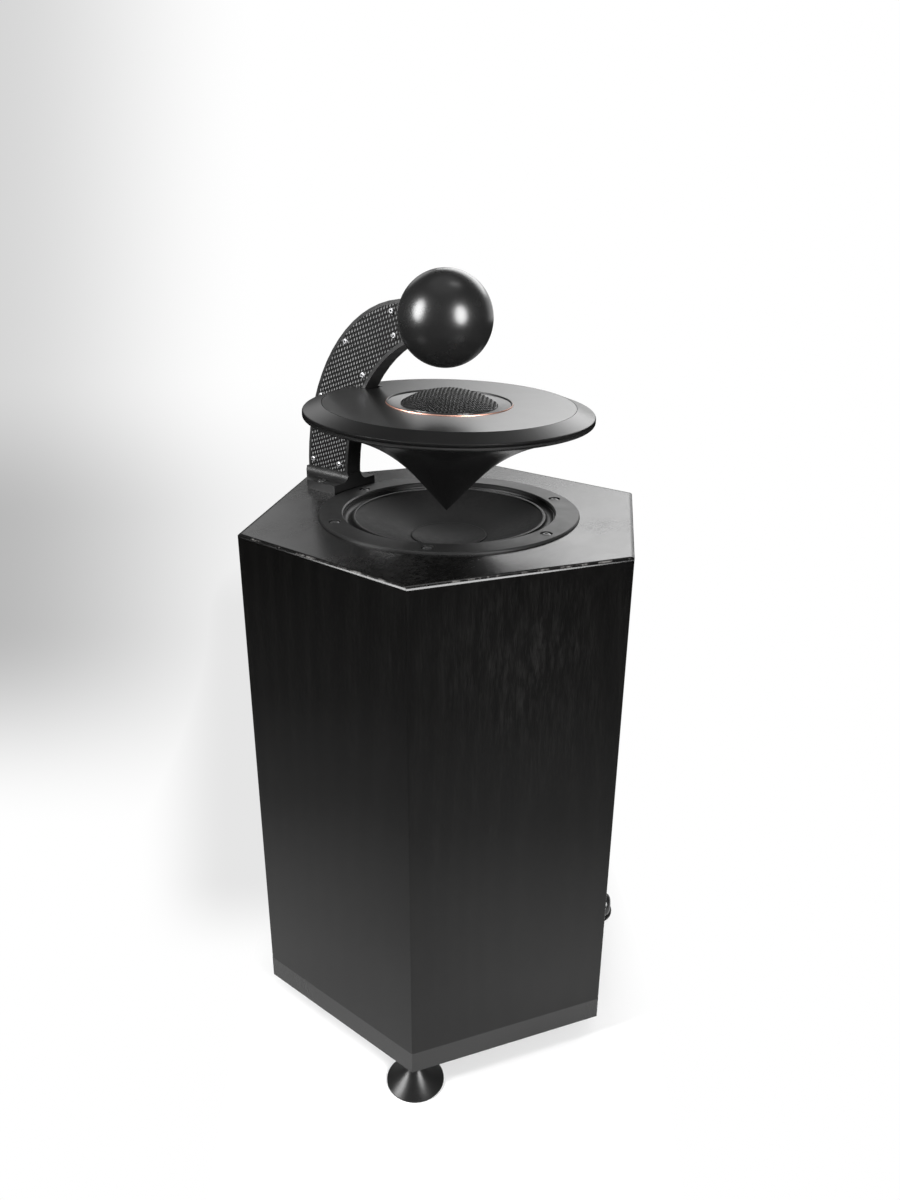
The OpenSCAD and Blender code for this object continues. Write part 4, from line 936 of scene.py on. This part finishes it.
def backdrop_tone(f, ray):
    """One minus the darker of the two greys, and plain white behind the camera."""
    # The two greys are the painted shade at the left and the painted shadow beside the cabinet.
    depth = f.dot(ray, forward)
    across = f.math("DIVIDE", f.dot(ray, right), depth)
    level = f.math("DIVIDE", f.dot(ray, up), depth)
    dark = f.math("MAXIMUM", painted_shade_at_left(f, across, level), painted_shadow_beside_cabinet(f, across, level))
    tone = f.math("SUBTRACT", 1.0, f.math("MULTIPLY", dark, f.between(depth, 0.1, 0.4, soft=True)))
    return f.add("CombineColor", Red=tone, Green=tone, Blue=tone).outputs[0]


print("paper's tone ready")

# %% [markdown]
# The speaker stands on white paper and leaves its shadow there. The black finishes are seen mostly
# by what they reflect, so in reflections the paper's colour is painted darker away from the
# speaker and brighter on the right, a painted shade and light. Away from the speaker, the camera
# sees the paper glow in the plain tone, with its painted shade and shadow.

# %% Floor
FLOOR_HALF = 6.0
PAPER_WHITE = grey(0.88)
BRIGHTER_WAY = (0.16, -0.99, 0.0)
SHADOW_HALF = 0.14


def floor_sheet():
    """A flat square at height 0 that isn't part of the object."""
    h = FLOOR_HALF
    mesh = bpy.data.meshes.new("floor")
    mesh.from_pydata([(-h, -h, 0), (h, -h, 0), (h, h, 0), (-h, h, 0)], [], [(0, 1, 2, 3)])
    obj = bpy.data.objects.new("floor", mesh)
    bpy.context.scene.collection.objects.link(obj)
    return obj


def paper_shade_in_reflections(f, spot, far):
    """Fades with the distance from the axis, and is half as bright again on the right side."""
    # A painted shade and light: in reflections the paper is darker away from the axis and brighter
    # towards BRIGHTER_WAY.
    fade = f.ramp(f.math("MULTIPLY", far, 0.5),
                  [(0.12, 0.50), (0.25, 0.18), (0.4, 0.06), (0.7, 0.015)])
    toward = f.between(f.dot(spot, BRIGHTER_WAY), -0.1, 0.3, 1.0, 1.5)
    return f.add("VectorMath", {"operation": "SCALE"}, i0=fade, Scale=toward).outputs[0]


def past_the_shadow(f, spot, far):
    """0 round the speaker and 1 where the camera's picture shows the plain tone."""
    sideways = f.math("SUBTRACT", f.math("ABSOLUTE", f.dot(spot, right)), SHADOW_HALF)
    sideways = f.math("MAXIMUM", sideways, 0.0)
    return f.ramp(f.math("MULTIPLY_ADD", sideways, 4.5, f.math("MULTIPLY", far, 0.5)),
                  [(0.15, 0.0), (0.36, 1.0)])


def paper_floor(name):
    f = Finish(name, Roughness=0.9, Specular_IOR_Level=0.1)
    spot, seen = f.spot(), f.add("LightPath")
    far = f.add("VectorMath", {"operation": "LENGTH"}, i0=spot).outputs["Value"]
    f.join(f.mix(seen.outputs["Is Glossy Ray"], PAPER_WHITE, paper_shade_in_reflections(f, spot, far)),
           "Base Color")
    # Past the shadow the camera sees the floor glow in the paper's tone, a painted light with its
    # painted shade and shadow, in place of lit paper.
    plain = f.add("Emission", Color=backdrop_tone(f, f.vector_math("SUBTRACT", spot, CAMERA_AT)),
                  Strength=1.0)
    only_seen = f.math("MULTIPLY", past_the_shadow(f, spot, far), seen.outputs["Is Camera Ray"])
    both = f.add("MixShader", i0=only_seen, i1=f.shader.outputs[0], i2=plain.outputs[0])
    f.tree.links.new(both.outputs[0], f.tree.nodes["Material Output"].inputs["Surface"])
    return f.material


floor = floor_sheet()
paint(floor, paper_floor("paper_floor"))
print("floor ready")

# %% [markdown]
# The room is dark at the camera's back and bright on the far side, with a soft ceiling. A picture
# of a real room could light the speaker, but the black finishes would mirror its furniture, so
# three soft shapes by direction are enough. Only reflections see them: the camera sees the paper's
# tone, with its painted shade and shadow, and a dim even light fills the shadows.

# %% World
WALL_AZIMUTH = math.radians(10)
WALL_WAY, PATCH_WAY = (math.cos(WALL_AZIMUTH), math.sin(WALL_AZIMUTH), 0), (0.508, 0.783, 0.358)


def room(w, look):
    """A bright wall, a brighter patch on the far side and a ceiling, each by its direction."""
    wall = w.between(w.dot(look, WALL_WAY), 0.80, 0.98, 0.05, 1.0, soft=True)
    ceiling = w.between(w.part(look, "Z"), 0.80, 0.98, 0.0, 0.4, soft=True)
    patch = w.between(w.dot(look, PATCH_WAY), 0.972, 0.998, soft=True)
    bright = w.math("ADD", w.math("ADD", wall, patch), ceiling)
    return w.add("CombineColor", Red=bright, Green=bright, Blue=bright).outputs[0]


world = bpy.data.worlds.new("studio")
world.use_nodes = True
bpy.context.scene.world = world
w = Nodes(world.node_tree)
look = w.add("TexCoord").outputs["Generated"]
path = w.add("LightPath")
lit = w.mix(path.outputs["Is Diffuse Ray"], room(w, look), grey(0.15))
seen_any = w.math("MAXIMUM", path.outputs["Is Camera Ray"], path.outputs["Is Transmission Ray"])
w.feed(w.tree.nodes["Background"].inputs["Color"], w.mix(seen_any, lit, backdrop_tone(w, look)))
print("world ready")

# %% [markdown]
# Two tall soft lamps beside the camera make the ball's two highlights. A small one overhead
# and a wide one behind draw the upper edges. All of them face the ball.

# %% Lamps
LIT_POINT = Vector((0, 0.0045, 0.626))


def soft_lamp(name, azimuth, elevation, distance, size, power):
    """A soft oval of light that faces LIT_POINT from a direction given in degrees."""
    lamp = bpy.data.lights.new(name, "AREA")
    lamp.shape = "ELLIPSE"
    lamp.size, lamp.size_y = size
    lamp.energy = power
    a, e = math.radians(azimuth), math.radians(elevation)
    away = Vector((math.cos(a) * math.cos(e), math.sin(a) * math.cos(e), math.sin(e)))
    obj = bpy.data.objects.new(name, lamp)
    obj.matrix_world = Matrix.Translation(LIT_POINT + away * distance) @ \
        away.to_track_quat("Z", "Y").to_matrix().to_4x4()
    obj.visible_camera = False
    bpy.context.scene.collection.objects.link(obj)


soft_lamp("lamp_left", 150.7, 17.2, 1.5, (0.72, 1.02), 42)
soft_lamp("lamp_right", -103.6, 12, 1.5, (0.72, 1.02), 42)
soft_lamp("lamp_above", -44.5, 74.4, 1.8, (0.35, 0.6), 1.2)
soft_lamp("lamp_behind", 20, 24, 2.4, (2.1, 1.1), 16.5)
bpy.context.scene.view_settings.view_transform = "Standard"
print("lamps ready")
